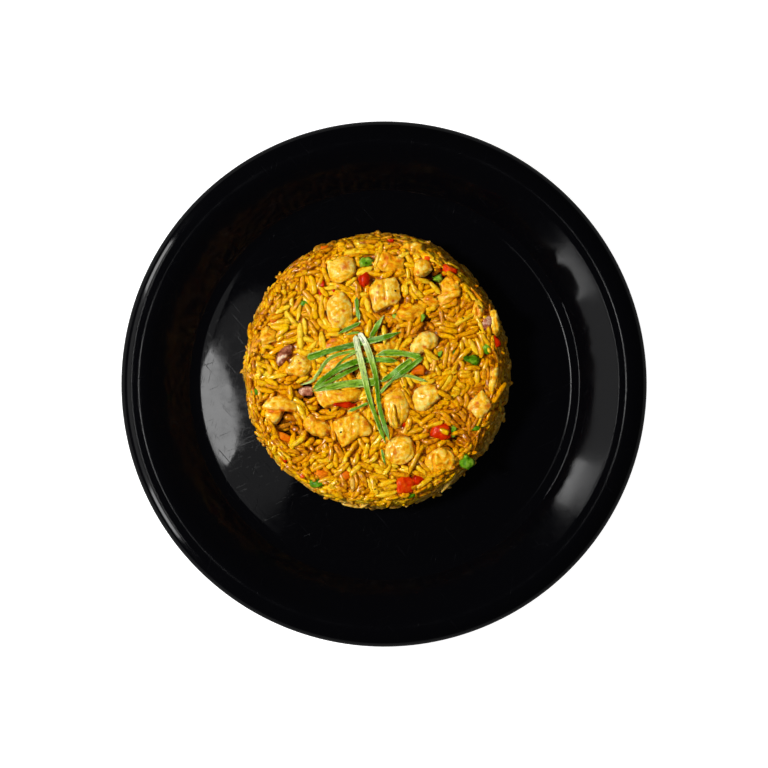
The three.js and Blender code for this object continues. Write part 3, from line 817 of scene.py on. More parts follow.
def grain_shape(random):
    """One long cooked grain of unit size, along X: drawn-in ends, a slight bend and a soft ridge."""
    stations = np.sin(np.linspace(-math.pi / 2, math.pi / 2, RINGS + 2)[1:-1] * 0.93)
    turns = np.linspace(0, 2 * math.pi, SIDES, endpoint=False)
    blunt = random.uniform(2.0, 4.5)
    skew = random.uniform(-0.25, 0.25)
    girth = (1 - np.abs(stations) ** blunt) ** random.uniform(0.48, 0.62) * (1 + skew * stations)
    girth *= 1 - random.uniform(0.0, 0.06) * np.cos(stations * random.uniform(5, 9))
    flute = 1 + random.uniform(0.0, 0.07) * np.cos(4 * turns)
    flute = flute + random.uniform(0.0, 0.07) * np.cos(3 * turns + random.uniform(0, 6))
    bend = random.normal(0, 0.05)
    lift = random.uniform(-0.03, 0.03)
    points = [(-0.5, bend * 2.6, lift * 2)]
    for station, size in zip(stations, girth):
        ring = np.stack([
            np.full(SIDES, station / 2),
            size * flute * np.cos(turns) / 2 + bend * (2.6 * station**2),
            size * flute * np.sin(turns) / 2 + lift * 2 * station**2,
        ], axis=1)
        points.extend(ring)
    points.append((0.5, bend * 2.6, lift * 2))
    return np.array(points)


def grain_faces():
    """Quads between the rings, and triangles at the two tips."""
    caps = np.vstack([
        fan_faces(0, 1, SIDES),
        fan_faces(1 + RINGS * SIDES, 1 + (RINGS - 1) * SIDES, SIDES, turned_over=True),
    ])
    return tube_faces(RINGS, SIDES, first=1), caps


def grain_batch(name, poses, shapes, random, material):
    """One mesh of many grains. Each pose is (place, along, side, up, size, shade)."""
    quads, caps = grain_faces()
    per_grain = 2 + RINGS * SIDES
    points, shades = [], []
    for place, along, side, up, size, shade in poses:
        local = shapes[int(random.integers(len(shapes)))] * np.array(size)
        if random.random() < 0.5:
            local = local * np.array([-1.0, -1.0, 1.0])
        points.append(place + local[:, 0:1] * along + local[:, 1:2] * side + local[:, 2:3] * up)
        # Painted light and shade: each grain is painted paler along its upper ridge and darker the deeper it
        # lies in the heap.
        ends = np.abs(local[:, 0]) / (size[0] / 2)
        painted_depth_shade = np.clip(depth_within(points[-1]) - 0.7, 0, 3)
        ridge = 2 * local[:, 2] / size[2]
        shades.append(shade + 0.08 * (ends - 0.5) + 0.14 * ridge - 0.2 * painted_depth_shade)
    count = len(poses)
    offsets = (np.arange(count) * per_grain)[:, None, None]
    faces = [(quads[None] + offsets).reshape(-1, 4), (caps[None] + offsets).reshape(-1, 3)]
    piece = mesh_object(name, np.vstack(points), faces, {"shade": np.clip(np.concatenate(shades), 0, 1)})
    return serve(piece, material, "rice", "rice")


def unit(vector):
    return vector / np.linalg.norm(vector)


def top_pose(grain):
    """A settled grain on the top chart as a place and three directions."""
    u, v, spin, size, (middle, slope, roll) = grain
    along = unit(np.array([math.cos(spin), math.sin(spin), slope]))
    side = unit(np.array([-math.sin(spin), math.cos(spin), roll]))
    up = unit(np.cross(along, side))
    return np.array([u, v, middle]), along, np.cross(up, along), up, size


def clear_of_plate(grain):
    """A side grain slid up, where it has to be, until its lower end rests on the plate."""
    u, v, spin, size, rest = grain
    reach = (abs(math.sin(spin)) * size[0] + abs(math.cos(spin)) * size[1]) / 2
    return u, max(v, FLOOR_TOP + 0.3 + reach), spin, size, rest


def side_pose(grain):
    """The same for the unrolled side, where u runs round the heap and v is the height."""
    u, v, spin, size, (middle, slope, roll) = grain
    angle = u / SIDE_UNROLL
    outward = np.array([math.cos(angle), math.sin(angle), 0.0])
    round_it = np.array([-math.sin(angle), math.cos(angle), 0.0])
    upright = np.array([0.0, 0.0, 1.0])
    along = unit(math.cos(spin) * round_it + math.sin(spin) * upright + slope * outward)
    side = unit(-math.sin(spin) * round_it + math.cos(spin) * upright + roll * outward)
    up = unit(np.cross(along, side))
    place = np.array([HEAP_X + lean_at(v), HEAP_Y, v]) + middle * outward
    return place, along, np.cross(up, along), up, size


# ----------------------------------------------------------------------------------- diced toppings


def worked_copy(node_name, piece_name, voxel, softening):
    """A finer copy of a solid with its edges softened. voxel is in mm."""
    source = nodes[node_name]
    rough = bpy.data.objects.new(piece_name + "_rough", source.data.copy())
    bpy.context.scene.collection.objects.link(rough)
    remesh = rough.modifiers.new("remesh", "REMESH")
    remesh.mode = "VOXEL"
    remesh.voxel_size = voxel * MM
    smooth = rough.modifiers.new("smooth", "SMOOTH")
    smooth.factor = 0.5
    smooth.iterations = softening
    bpy.context.view_layer.update()
    mesh = bpy.data.meshes.new_from_object(rough.evaluated_get(bpy.context.evaluated_depsgraph_get()))
    mesh.name = piece_name
    bpy.data.objects.remove(rough)
    mesh.shade_smooth()
    made = bpy.data.objects.new(piece_name, mesh)
    bpy.context.scene.collection.objects.link(made)
    return made


def roughen(piece, lumps, seed, stretch_turn=0.0):
    """Moves the surface out and in by several noises: (size in mm, height in mm) each.
    The size may be three numbers, which then run along, across and down the piece's own grain."""
    mesh = piece.data
    points, normals = mesh_points(mesh), mesh_normals(mesh)
    turned_points = turned_level(points, stretch_turn)
    moved = np.zeros(len(points))
    for index, (lump, height) in enumerate(lumps):
        moved += height * smooth_noise(turned_points, lump, seed + 7 * index)
    set_points(mesh, points + normals * moved[:, None])
    return moved


def from_photo(places):
    """Places read off the photograph, as across and down in its pixels, in mm on the plate."""
    places = np.array(places, float)
    centre = PHOTO_WIDTH / 2
    return np.stack([places[..., 0] - centre, centre - places[..., 1]], axis=-1) * MM_PER_PIXEL


def distance_to_line(points, line):
    """How far each point lies from a line of several corners, seen from above."""
    nearest = np.full(len(points), np.inf)
    for start, end in zip(line[:-1], line[1:]):
        run = end - start
        share = np.clip(((points[:, :2] - start) @ run) / max(run @ run, 1e-9), 0, 1)
        gap = points[:, :2] - start - share[:, None] * run
        nearest = np.minimum(nearest, np.hypot(gap[:, 0], gap[:, 1]))
    return nearest


# Each dice of chicken as the photograph shows it, in its pixels. tone runs from 0 (orange) to 1 (pale),
# fibre is the bearing of the meat's grain in degrees. A groove is its depth and width in mm and its line,
# and a spot, where the meat has browned, is its place and radius in pixels.
CHICKEN = {
    1: dict(tone=0.72, fibre=20, outline=(
        (327, 264), (332, 258), (343, 256), (353, 258), (356, 264), (356, 272), (351, 279), (341, 284),
        (332, 282), (328, 277),
    ), grooves=(
        (0.8, 0.5, ((328, 275), (334, 278), (344, 277.5), (350, 274))),
        (0.6, 0.4, ((329, 278), (336, 280.5), (345, 280))),
    ), spots=((346, 265, 4.5), (343, 268, 2.5))),
    2: dict(tone=0.74, fibre=35, outline=(
        (341, 290), (347, 295), (353, 303), (354, 313), (354, 324), (350, 329), (342, 330), (335, 331),
        (329, 324), (326, 313), (326, 306), (329, 298), (335, 292),
    ), grooves=(
        (0.5, 0.4, ((333, 304), (340, 300), (345, 298))), (0.5, 0.4, ((331, 311), (340, 305), (348, 303))),
        (0.5, 0.4, ((332, 318), (341, 311), (351, 309))), (0.9, 0.8, ((342, 329), (347, 321), (353, 316))),
        (0.4, 0.3, ((334, 323), (341, 317), (350, 314))),
    ), spots=((335, 320, 2.2), (344, 311, 1.8), (338, 322, 1.5))),
    3: dict(tone=0.68, fibre=78, outline=(
        (375, 279), (384, 278), (395, 277), (400, 286), (402, 297), (398, 303), (390, 307), (377, 313),
        (373, 311), (368, 293), (369, 286),
    ), grooves=(
        (0.6, 0.4, ((379, 284), (380, 292), (382, 300))), (0.5, 0.35, ((374, 288), (376, 296), (378, 305))),
        (0.9, 0.6, ((384, 279), (385, 290), (386, 303))), (0.4, 0.3, ((390, 300), (397, 298))),
    ), spots=((380, 286, 2), (384, 299, 2), (378, 293, 1.6), (393, 301, 1.8), (374, 300, 2))),
    4: dict(tone=0.3, fibre=150, outline=(
        (376, 261), (378, 254), (384, 250), (391, 251), (397, 255), (404, 258), (405, 264), (402, 270),
        (396, 273), (387, 274), (378, 270), (375, 265),
    ), grooves=(
        (1.2, 0.7, ((383, 250), (386, 258), (383, 266))), (1.2, 0.7, ((391, 252), (393, 260), (400, 262))),
        (0.9, 0.5, ((377, 262), (384, 261))), (0.8, 0.5, ((388, 266), (396, 268))),
    ), spots=((386, 258, 3), (400, 260, 2.5))),
    5: dict(tone=0.55, fibre=70, outline=(
        (399, 245), (405, 241), (412, 242), (418, 240), (424, 243), (425, 250), (420, 254), (412, 256),
        (404, 254), (398, 250),
    ), grooves=(
        (1.4, 0.7, ((410, 241), (411, 249), (408, 255))), (0.9, 0.6, ((400, 249), (406, 247))),
        (0.9, 0.6, ((415, 248), (422, 247))), (0.8, 0.5, ((404, 243), (407, 250))),
    ), spots=()),
    6: dict(tone=0.66, fibre=0, outline=(
        (414, 264), (418, 260), (426, 258), (431, 263), (433, 269), (429, 274), (423, 277), (416, 277),
        (413, 273),
    ), grooves=(), spots=((418, 273, 1.6),)),
    7: dict(tone=0.4, fibre=160, outline=(
        (439, 283), (445, 277), (452, 278), (458, 283), (463, 289), (462, 295), (456, 299), (449, 306),
        (441, 308), (438, 299), (440, 291),
    ), grooves=(
        (1.3, 0.6, ((442, 294), (451, 292), (460, 289))), (1.0, 0.6, ((444, 302), (451, 299), (458, 298))),
        (0.7, 0.5, ((447, 279), (452, 286))),
    ), spots=()),
    8: dict(tone=0.35, fibre=170, outline=(
        (420, 298), (426, 295), (433, 294), (439, 298), (441, 305), (438, 309), (430, 307), (422, 302),
    ), grooves=((0.9, 0.6, ((422, 298), (430, 301), (438, 303))),), spots=((428, 298, 3),)),
    9: dict(tone=0.85, fibre=100, outline=(
        (419, 333), (426, 331), (435, 332), (439, 337), (438, 345), (433, 350), (426, 352), (417, 356),
        (410, 354), (410, 347), (414, 338),
    ), grooves=((0.5, 0.8, ((430, 334), (433, 342), (431, 349))),), spots=((425, 332, 1.8), (424, 347, 2))),
    10: dict(tone=0.62, fibre=40, outline=(
        (288, 365), (294, 356), (301, 354), (307, 355), (313, 360), (314, 366), (309, 373), (306, 378),
        (299, 378), (292, 375), (285, 374), (283, 370),
    ), grooves=(
        (0.8, 1.0, ((286, 371), (296, 372), (307, 366))), (0.5, 0.6, ((308, 357), (309, 365), (306, 376))),
    ), spots=((300, 363, 1.8), (304, 359, 1.5))),
    11: dict(tone=0.42, fibre=60, outline=(
        (266, 324), (272, 329), (278, 332), (279, 338), (276, 342), (269, 345), (261, 347), (256, 343),
        (256, 335), (261, 329),
    ), grooves=(
        (0.9, 0.6, ((263, 337), (268, 334), (273, 336))), (0.6, 0.5, ((262, 343), (271, 341), (277, 338))),
    ), spots=((269, 335, 1.5),)),
    12: dict(tone=0.12, fibre=15, outline=(
        (321, 350), (325, 341), (332, 337), (340, 337), (348, 340), (355, 342), (354, 350), (345, 353),
        (331, 354),
    ), grooves=((0.9, 0.6, ((328, 342), (337, 341), (345, 345))),), spots=((328, 344, 3), (334, 340, 3))),
    13: dict(tone=0.4, fibre=30, outline=(
        (334, 355), (341, 352), (349, 351), (358, 352), (359, 359), (350, 366), (339, 369), (326, 374),
        (320, 371), (324, 363),
    ), grooves=(
        (0.9, 0.6, ((325, 368), (335, 362), (350, 357))), (0.7, 0.5, ((333, 358), (345, 354))),
    ), spots=()),
    14: dict(tone=0.38, fibre=12, outline=(
        (311, 386), (324, 386), (336, 388), (350, 388), (363, 389), (364, 396), (355, 401), (341, 404),
        (332, 407), (325, 409), (320, 405), (315, 397),
    ), grooves=(
        (0.6, 0.4, ((345, 391), (354, 394), (363, 396))), (0.6, 0.4, ((331, 392), (345, 398), (357, 399))),
        (0.8, 0.5, ((324, 393), (326, 400), (330, 405))), (0.5, 0.4, ((343, 388), (356, 391))),
    ), spots=((341, 394, 2),)),
    15: dict(tone=0.45, fibre=80, outline=(
        (356, 377), (359, 371), (364, 367), (374, 368), (376, 375), (374, 382), (363, 383), (357, 382),
    ), grooves=((0.7, 0.6, ((362, 369), (365, 381))),), spots=((371, 374, 2),)),
    16: dict(tone=0.6, fibre=80, outline=(
        (396, 386), (402, 388), (407, 396), (410, 403), (411, 413), (407, 421), (401, 428), (396, 429),
        (391, 426), (385, 417), (382, 403), (382, 396), (387, 391),
    ), grooves=(
        (0.6, 0.5, ((400, 404), (401, 416), (399, 427))), (0.5, 0.5, ((389, 398), (390, 410), (394, 424))),
        (0.7, 0.5, ((387, 400), (394, 397), (401, 399))),
    ), spots=((394, 397, 2.5), (382, 403, 3), (400, 398, 1.8))),
    17: dict(tone=0.8, fibre=70, outline=(
        (413, 392), (420, 387), (429, 383), (437, 384), (440, 390), (441, 397), (435, 403), (429, 410),
        (423, 412), (415, 410), (412, 401),
    ), grooves=(
        (0.7, 0.9, ((433, 385), (434, 396), (428, 409))), (0.4, 0.3, ((417, 394), (425, 392))),
        (0.4, 0.3, ((416, 399), (427, 396))), (0.4, 0.3, ((418, 405), (427, 401))),
    ), spots=((437, 388, 2.6),)),
    18: dict(tone=0.6, fibre=45, outline=(
        (481, 389), (486, 393), (492, 400), (493, 406), (489, 413), (482, 420), (475, 416), (468, 409),
        (468, 403), (475, 396),
    ), grooves=(
        (0.8, 0.6, ((470, 408), (478, 407), (492, 406))), (0.6, 0.5, ((478, 394), (482, 401))),
    ), spots=((472, 407, 3.6), (488, 406, 3.6), (486, 415, 3), (477, 403, 2))),
    19: dict(tone=0.66, fibre=80, outline=(
        (490, 371), (493, 366), (498, 365), (501, 370), (500, 376), (498, 381), (496, 390), (492, 396),
        (487, 392), (487, 386), (490, 379),
    ), grooves=((1.1, 0.8, ((488, 378), (499, 379))),), spots=()),
    20: dict(tone=0.62, fibre=120, outline=(
        (385, 449), (388, 442), (396, 436), (405, 435), (413, 439), (416, 448), (416, 455), (410, 462),
        (403, 466), (394, 465), (388, 462), (385, 456),
    ), grooves=(
        (1.0, 0.5, ((391, 460), (390, 449), (395, 442), (404, 440), (411, 444))),
        (0.7, 0.5, ((396, 464), (404, 461), (411, 455), (413, 447))),
    ), spots=((395, 453, 4), (391, 448, 2), (414, 444, 2.6), (404, 464, 3))),
    21: dict(tone=0.52, fibre=100, outline=(
        (425, 459), (428, 454), (434, 448), (441, 444), (449, 447), (455, 453), (457, 461), (455, 466),
        (449, 471), (443, 473), (433, 479), (427, 477), (423, 468),
    ), grooves=(
        (1.6, 0.8, ((434, 454), (433, 462), (435, 474))), (1.4, 0.8, ((438, 455), (443, 459), (448, 458))),
        (1.2, 0.7, ((447, 449), (450, 456), (449, 465))), (1.1, 0.7, ((436, 466), (443, 464), (449, 468))),
        (0.9, 0.6, ((425, 465), (431, 467))),
    ), spots=()),
    22: dict(tone=0.56, fibre=75, outline=(
        (333, 423), (338, 419), (350, 413), (360, 411), (364, 414), (371, 423), (374, 432), (367, 436),
        (360, 437), (352, 443), (344, 449), (340, 444), (336, 436), (333, 430),
    ), grooves=(
        (1.1, 0.6, ((361, 412), (360, 422), (360, 432), (359, 438))),
        (0.4, 0.4, ((343, 421), (345, 431), (347, 443))),
        (0.4, 0.3, ((351, 416), (353, 428), (352, 439))),
    ), spots=((352, 419, 2.4), (366, 424, 3), (344, 437, 2), (341, 424, 1.6))),
    23: dict(tone=0.36, fibre=150, outline=(
        (303, 418), (309, 413), (315, 416), (319, 420), (326, 421), (331, 425), (331, 432), (327, 438),
        (319, 437), (313, 436), (306, 431), (302, 425),
    ), grooves=((0.8, 0.8, ((317, 418), (315, 427), (318, 436))),), spots=((312, 419, 3), (328, 431, 2.6))),
    24: dict(tone=0.7, fibre=10, outline=(
        (260, 408), (264, 401), (272, 397), (281, 395), (291, 398), (298, 403), (301, 408), (296, 412),
        (286, 411), (281, 417), (278, 423), (272, 425), (267, 420), (263, 414),
    ), grooves=(
        (2.6, 1.1, ((266, 410), (273, 411.5), (281, 411), (292, 412))),
        (0.4, 0.4, ((270, 403), (281, 401), (292, 405))),
    ), spots=((273, 411, 3.4), (283, 411, 3.4), (284, 397, 1.6), (291, 411, 2.6))),
    25: dict(tone=0.5, fibre=60, outline=(
        (473, 301), (477, 299), (482, 304), (485, 310), (484, 317), (479, 321), (474, 319), (472, 311),
    ), grooves=((1.8, 0.8, ((477, 309), (478, 315))),), spots=()),
    26: dict(tone=0.7, fibre=80, outline=(
        (491, 311), (495, 309), (499, 316), (501, 324), (501, 332), (497, 336), (493, 333), (490, 326),
        (490, 318),
    ), grooves=((0.9, 0.6, ((494, 311), (495, 322), (497, 334))),), spots=()),
    27: dict(tone=0.3, fibre=12, outline=(
        (395, 312), (402, 307), (410, 304), (419, 303), (426, 306), (424, 312), (418, 320), (414, 323),
        (406, 322), (399, 320),
    ), grooves=(
        (0.9, 0.5, ((398, 311), (411, 308), (424, 307))), (1.0, 0.5, ((398, 316), (410, 315), (421, 313))),
        (0.7, 0.4, ((402, 319), (411, 319), (417, 318))),
    ), spots=((404, 308, 2),)),
    28: dict(tone=0.4, fibre=55, outline=(
        (371, 345), (382, 343), (391, 339), (397, 341), (398, 347), (391, 352), (382, 353), (374, 351),
    ), grooves=(
        (0.9, 0.5, ((376, 345), (379, 351))), (0.9, 0.5, ((383, 344), (386, 350))),
        (0.9, 0.5, ((390, 341), (392, 349))),
    ), spots=()),
}
CHICKEN_VOXEL = 0.5
FOLD_DEPTH = 0.6  # the share of each groove that is left after cooking and glazing
BEARINGS = np.linspace(-math.pi, math.pi, 73)[:-1]


def reach_of(points, middle):
    """How far a form reaches from its middle on each bearing."""
    across, along = points[:, 0] - middle[0], points[:, 1] - middle[1]
    bearing = np.arctan2(along, across)
    radius = np.hypot(across, along)
    sector = np.floor((bearing + math.pi) / (2 * math.pi) * len(BEARINGS)).astype(int) % len(BEARINGS)
    reach = np.zeros(len(BEARINGS))
    np.maximum.at(reach, sector, radius)
    known = reach > 0
    reach = np.interp(BEARINGS, BEARINGS[known], reach[known], period=2 * math.pi)
    return (np.roll(reach, 1) + 2 * reach + np.roll(reach, -1)) / 4


def fit_outline(points, outline):
    """Moves a piece's points in or out so that it fills the outline the photograph shows."""
    middle = (outline.min(axis=0) + outline.max(axis=0)) / 2
    ahead = np.roll(outline, -1, axis=0)
    edge = np.vstack([outline + (ahead - outline) * share for share in np.linspace(0, 0.95, 20)])
    now, wanted = reach_of(points, middle), reach_of(edge, middle)
    across, along = points[:, 0] - middle[0], points[:, 1] - middle[1]
    bearing = np.arctan2(along, across)
    stretch = np.interp(bearing, BEARINGS, wanted / now, period=2 * math.pi)
    share = np.hypot(across, along) / np.interp(bearing, BEARINGS, now, period=2 * math.pi)
    fitted = points.copy()
    fitted[:, 0] = middle[0] + across * stretch
    fitted[:, 1] = middle[1] + along * stretch
    return fitted, share


# How uneven a surface is: the size of the lumps along, across and down the grain, and their height, in mm.
MEAT_LUMPS = (
    ((4.5, 4.5, 4.5), 0.3), ((2.2, 2.2, 2.2), 0.13), ((3.6, 0.9, 0.9), 0.1), ((1.0, 1.0, 1.0), 0.06),
)
VEGETABLE_LUMPS = (((3.2, 3.2, 3.2), 0.45), ((1.2, 1.2, 1.2), 0.16), ((0.6, 0.6, 0.6), 0.07))


def dome(points, share, band, rise, fall):
    """Raises the top in its middle and eases its upper edges. band is how deep the easing goes, in mm.
    Gives how far up each point is, from 0 to 1."""
    upper = np.clip((points[:, 2] - points[:, 2].max() + band) / (band - 0.5), 0, 1)
    points[:, 2] += upper * (rise - fall * np.clip(share, 0, 1) ** 4)
    return upper


def make_chicken(material):
    """Each dice fitted to its outline, domed, grooved along its folds and roughened along its fibres."""
    made = []
    for number, form in CHICKEN.items():
        name = f"chicken_{number:02d}"
        piece = worked_copy(name, f"chicken_dice_{number:02d}", CHICKEN_VOXEL, 5)
        points, share = fit_outline(mesh_points(piece.data), from_photo(form["outline"]))
        upper = dome(points, share, 3.5, 0.6, 1.9)
        browning = np.zeros(len(points))
        fall = np.zeros(len(points))
        for depth, width, line in form["grooves"]:
            near = np.exp(-((distance_to_line(points, from_photo(line)) / width) ** 2))
            fall = np.maximum(fall, FOLD_DEPTH * depth * near)
        for across, down, radius in form["spots"]:
            away = np.hypot(*(points[:, :2] - from_photo((across, down))).T) / (1.25 * radius * MM_PER_PIXEL)
            browning = np.maximum(browning, np.exp(-(away**2)))
        points[:, 2] -= upper * fall
        set_points(piece.data, points)
        turn = -math.radians(form["fibre"])
        moved = roughen(piece, MEAT_LUMPS, seed=number, stretch_turn=turn)
        streaks = smooth_noise(turned_level(points, turn), (3.0, 0.8, 3.0), 60 + number)
        # The shade is the dice's tone and fibre streaks, with painted light and shade: outward lumps paler
        # and grooves darker.
        shade = 0.2 + 0.55 * form["tone"] + 0.25 * moved + 0.16 * streaks - 0.4 * fall * upper
        set_attribute(piece.data, "shade", np.clip(shade, 0, 1))
        set_attribute(piece.data, "browning", browning * upper)
        made.append(serve(piece, material, "chicken", name))
    return made


# The cut vegetables, as outlines in the photograph's pixels.
VEGETABLES = {
    "red_pepper_1": (
        (357.8, 279.2), (362, 274), (366, 270.6), (369, 274.6), (369.3, 280.8), (365.5, 288.4),
        (360.4, 285),
    ),
    "red_pepper_2": (
        (442.5, 276), (442.7, 266.3), (445.3, 263.1), (451, 265.8), (458.4, 268.4), (458, 272.6),
        (455, 274.4), (449, 272.6), (445.7, 276.6),
    ),
    "red_pepper_3": (
        (327, 400.4), (331, 399.5), (336.5, 399.8), (340, 399.4), (346, 401.3), (355, 402.6),
        (355.4, 407.2), (346, 407.6), (337, 407), (331.5, 404.6),
    ),
    "red_pepper_4": (
        (434.6, 425.5), (439, 423.4), (445, 423.8), (449.6, 426), (451.2, 432), (450.4, 438), (445, 440.4),
        (437, 439.6), (430, 436.6), (430.4, 432.2),
    ),
    "red_pepper_5": (
        (396.4, 481), (402, 476.6), (408, 476.2), (414.6, 480.4), (414.6, 486), (412, 491.8), (405, 495),
        (397.2, 494.2), (396, 488),
    ),
    "red_pepper_6": (
        (412, 477), (416, 474), (422.5, 475), (425.2, 478.4), (422, 484.6), (417, 486), (414, 482),
    ),
    "carrot_1": (
        (411.4, 370.4), (413, 367), (418, 365), (425.4, 365.6), (426.2, 370), (425, 374.2),
        (418, 374.8), (412, 373.2),
    ),
    "carrot_2": (
        (315.2, 474.6), (317, 470.6), (323, 469.6), (329, 471), (329.6, 475), (325.6, 477.8), (320, 478.4),
    ),
    "onion_1": (
        (279.6, 349.4), (284, 346), (290.4, 343.6), (292.2, 347), (291.6, 352.4), (287, 358.2),
        (283, 363.6), (279.6, 366), (277.4, 363), (276.2, 358), (277, 353.4),
    ),
    "onion_2": (
        (484, 317.2), (489, 315.4), (495.2, 316.4), (494.2, 322.6), (491, 328), (487, 331.2),
        (482.8, 330), (481, 323.6),
    ),
    "green_1": (
        (358.8, 262.6), (361.6, 257.6), (369, 256.4), (373.6, 259.6), (373.2, 264.8), (366, 266.8),
        (360.4, 265.6),
    ),
    "green_2": (
        (463, 358.4), (466, 356), (473.6, 354.6), (480.2, 358), (479.4, 363), (476, 366),
        (471.4, 363.6), (465.6, 361.4),
    ),
    "green_3": (
        (459.4, 464), (462, 458.6), (465.6, 453), (470, 457.4), (474.6, 460.4), (474.6, 464.6),
        (468, 469.8), (461.4, 467.8),
    ),
    "green_4": (
        (432.8, 279.6), (436, 275), (441.8, 274), (442.2, 278.4), (439.6, 281.6), (435.4, 281.4),
    ),
}


# The onion's raised inner fold, which is also painted pale as a painted highlight.
ONION_FOLD_HIGHLIGHT = ((278.3, 365.3), (277.9, 362.4), (279.9, 358.4), (283.2, 356.4), (285.6, 356.4))  # in pixels
VEGETABLE_VOXEL = 0.4


def make_vegetables(materials):
    """Each cut vegetable fitted to its outline, with its upper edges eased and its faces uneven."""
    made = []
    for index, (name, outline) in enumerate(VEGETABLES.items()):
        kind = name.rsplit("_", 1)[0]
        piece = worked_copy(name, f"{name}_piece", VEGETABLE_VOXEL, 2)
        points, share = fit_outline(mesh_points(piece.data), from_photo(outline))
        upper = dome(points, share, 3.0, 0.3, 1.6)
        set_points(piece.data, points)
        moved = roughen(piece, VEGETABLE_LUMPS, 40 + index)
        # Painted light and shade: paler on outward lumps and darker in dents, over a tone for each piece.
        shade = 0.5 + 0.2 * math.sin(index * 2.1) + 0.4 * moved
        if name == "onion_1":  # its thin inner layer stands up, and a painted highlight is laid along it
            fold = np.exp(-((distance_to_line(points, from_photo(ONION_FOLD_HIGHLIGHT)) / 0.6) ** 2)) * upper
            points = mesh_points(piece.data)
            points[:, 2] += 0.5 * fold
            set_points(piece.data, points)
            shade += fold
        set_attribute(piece.data, "shade", np.clip(shade, 0, 1))
        made.append(serve(piece, materials[kind], kind, name))
    return made


# -------------------------------------------------------------------------------- spring onion shreds
# Width at the start and the end, tone at the start, middle and end (0 deep green, 1 cream), how far the
# start and the end are drawn out to a point (in widths), and where each runs, in mm.

SHREDS = (
    ((3.8, 3.4), (0.5, 0.6, 0.4), (3.0, 0.8),
     ((-34, -3.5), (-25.5, -1.5), (-18, 0), (-9.5, 0.5), (-1, 1.5))),
    ((1.9, 1.9), (0.5, 0.35, 0.3), (1.5, 1.0),
     ((-34, -2.5), (-27, 0.5), (-20.5, 4), (-11.5, 8.5))),
    ((1.5, 1.5), (0.75, 0.6, 0.5), (3.0, 1.0),
     ((-39.5, -0.5), (-34, 1.5), (-31.5, 4.5), (-25, 12.5), (-13, 16))),
    ((2.7, 2.7), (0.35, 0.2, 0.45), (1.6, 1.2),
     ((-33.5, -2), (-27, 3.5), (-20.5, 7.5), (-13, 10.5), (-4, 11.5), (6.5, 11))),
    ((2.8, 2.8), (0.5, 0.5, 0.3), (1.4, 0.3),
     ((-4, 13.5), (2, 14.8), (9.5, 14.3), (17.5, 12.6))),
    ((1.2, 1.2), (0.4, 0.35, 0.4), (1.5, 0.5),
     ((-17, -13), (-12, -11), (-7.5, -9))),
    ((1.3, 1.3), (0.5, 0.7, 0.6), (1.0, 2.5),
     ((-2, -4.5), (2, 0), (6, 3), (11.5, 3.8), (20.5, 1))),
    ((3.0, 2.4), (0.3, 0.05, 0.35), (0.5, 2.4),
     ((-36.5, 12.2), (-24.5, 16), (-12, 19.2), (-1, 21.7), (8, 24.6))),
    ((2.4, 2.4), (0.3, 0.3, 0.6), (1.0, 0.2),
     ((-1.5, 1), (4, 4.7), (8.5, 8.4), (12.8, 11.5))),
    ((2.6, 2.6), (0.3, 0.2, 0.3), (1.2, 1.0),
     ((3.2, 1.6), (7.5, 4.7), (12.7, 8.4), (18.6, 12.8))),
    ((3.2, 1.7), (0.95, 0.55, 0.5), (0.4, 3.0),
     ((-13.6, 23), (-12.2, 16), (-10.3, 8.4), (-6.6, -7.5), (-2, -20.5), (0.8, -28))),
    ((2.8, 1.9), (1.15, 0.2, 0.3), (0.4, 2.6),
     ((-11.9, 24.4), (-8, 17.4), (-4, 4.2), (-2, -11.3), (2.4, -26.6))),
    ((1.7, 2.0), (0.3, 0.3, 0.45), (0.9, 1.2),
     ((-13, 41), (-12.7, 35.6), (-11.7, 30))),
    ((1.8, 1.9), (0.35, 0.15, 0.4), (1.2, 2.2),
     ((-11, 29), (-16, 26.7), (-21.6, 23.7))),
    ((2.4, 2.2), (0.3, 0.35, 0.9), (0.8, 2.6),
     ((-6.6, 21.8), (-4.2, 25.8), (-2, 29.5), (0.2, 32.6))),
)
# Thinner threads, laid after the rest: the same numbers.
THREADS = (
    ((1.0, 1.0), (0.4, 0.35, 0.4), (2.0, 1.0),
     ((-17.8, 23.2), (-14.8, 24), (-11.4, 24.4))),
    ((1.0, 1.0), (0.35, 0.45, 0.5), (2.0, 1.5),
     ((-23.4, 7.5), (-18.6, 12), (-12.7, 15.5))),
    ((1.1, 1.1), (0.3, 0.3, 0.35), (1.0, 2.5),
     ((-1.2, -30.6), (-0.4, -34), (0.6, -38.4))),
)
SHRED_THICKNESS = 0.4
SHRED_CROSS = 7  # points across a shred
SHRED_STEP = 0.5  # between points along it, in mm


def smooth_line(corners, step):
    """Points every step along a smooth curve through the corners, with its directions."""
    corners = np.array(corners, float)
    padded = np.vstack([2 * corners[0] - corners[1], corners, 2 * corners[-1] - corners[-2]])
    dense = []
    for i in range(1, len(padded) - 2):
        p0, p1, p2, p3 = padded[i - 1 : i + 3]
        t = np.linspace(0, 1, 40, endpoint=False)[:, None]
        dense.append(0.5 * (2 * p1 + (p2 - p0) * t + (2 * p0 - 5 * p1 + 4 * p2 - p3) * t**2
                            + (3 * p1 - p0 - 3 * p2 + p3) * t**3))
    dense = np.vstack(dense + [corners[-1:]])
    travelled = np.concatenate([[0], np.cumsum(np.linalg.norm(np.diff(dense, axis=0), axis=1))])
    count = max(6, int(travelled[-1] / step) + 1)
    marks = np.linspace(0, travelled[-1], count)
    line = np.stack([np.interp(marks, travelled, dense[:, k]) for k in range(2)], axis=1)
    forward = np.gradient(line, axis=0)
    forward /= np.linalg.norm(forward, axis=1, keepdims=True)
    return line, forward


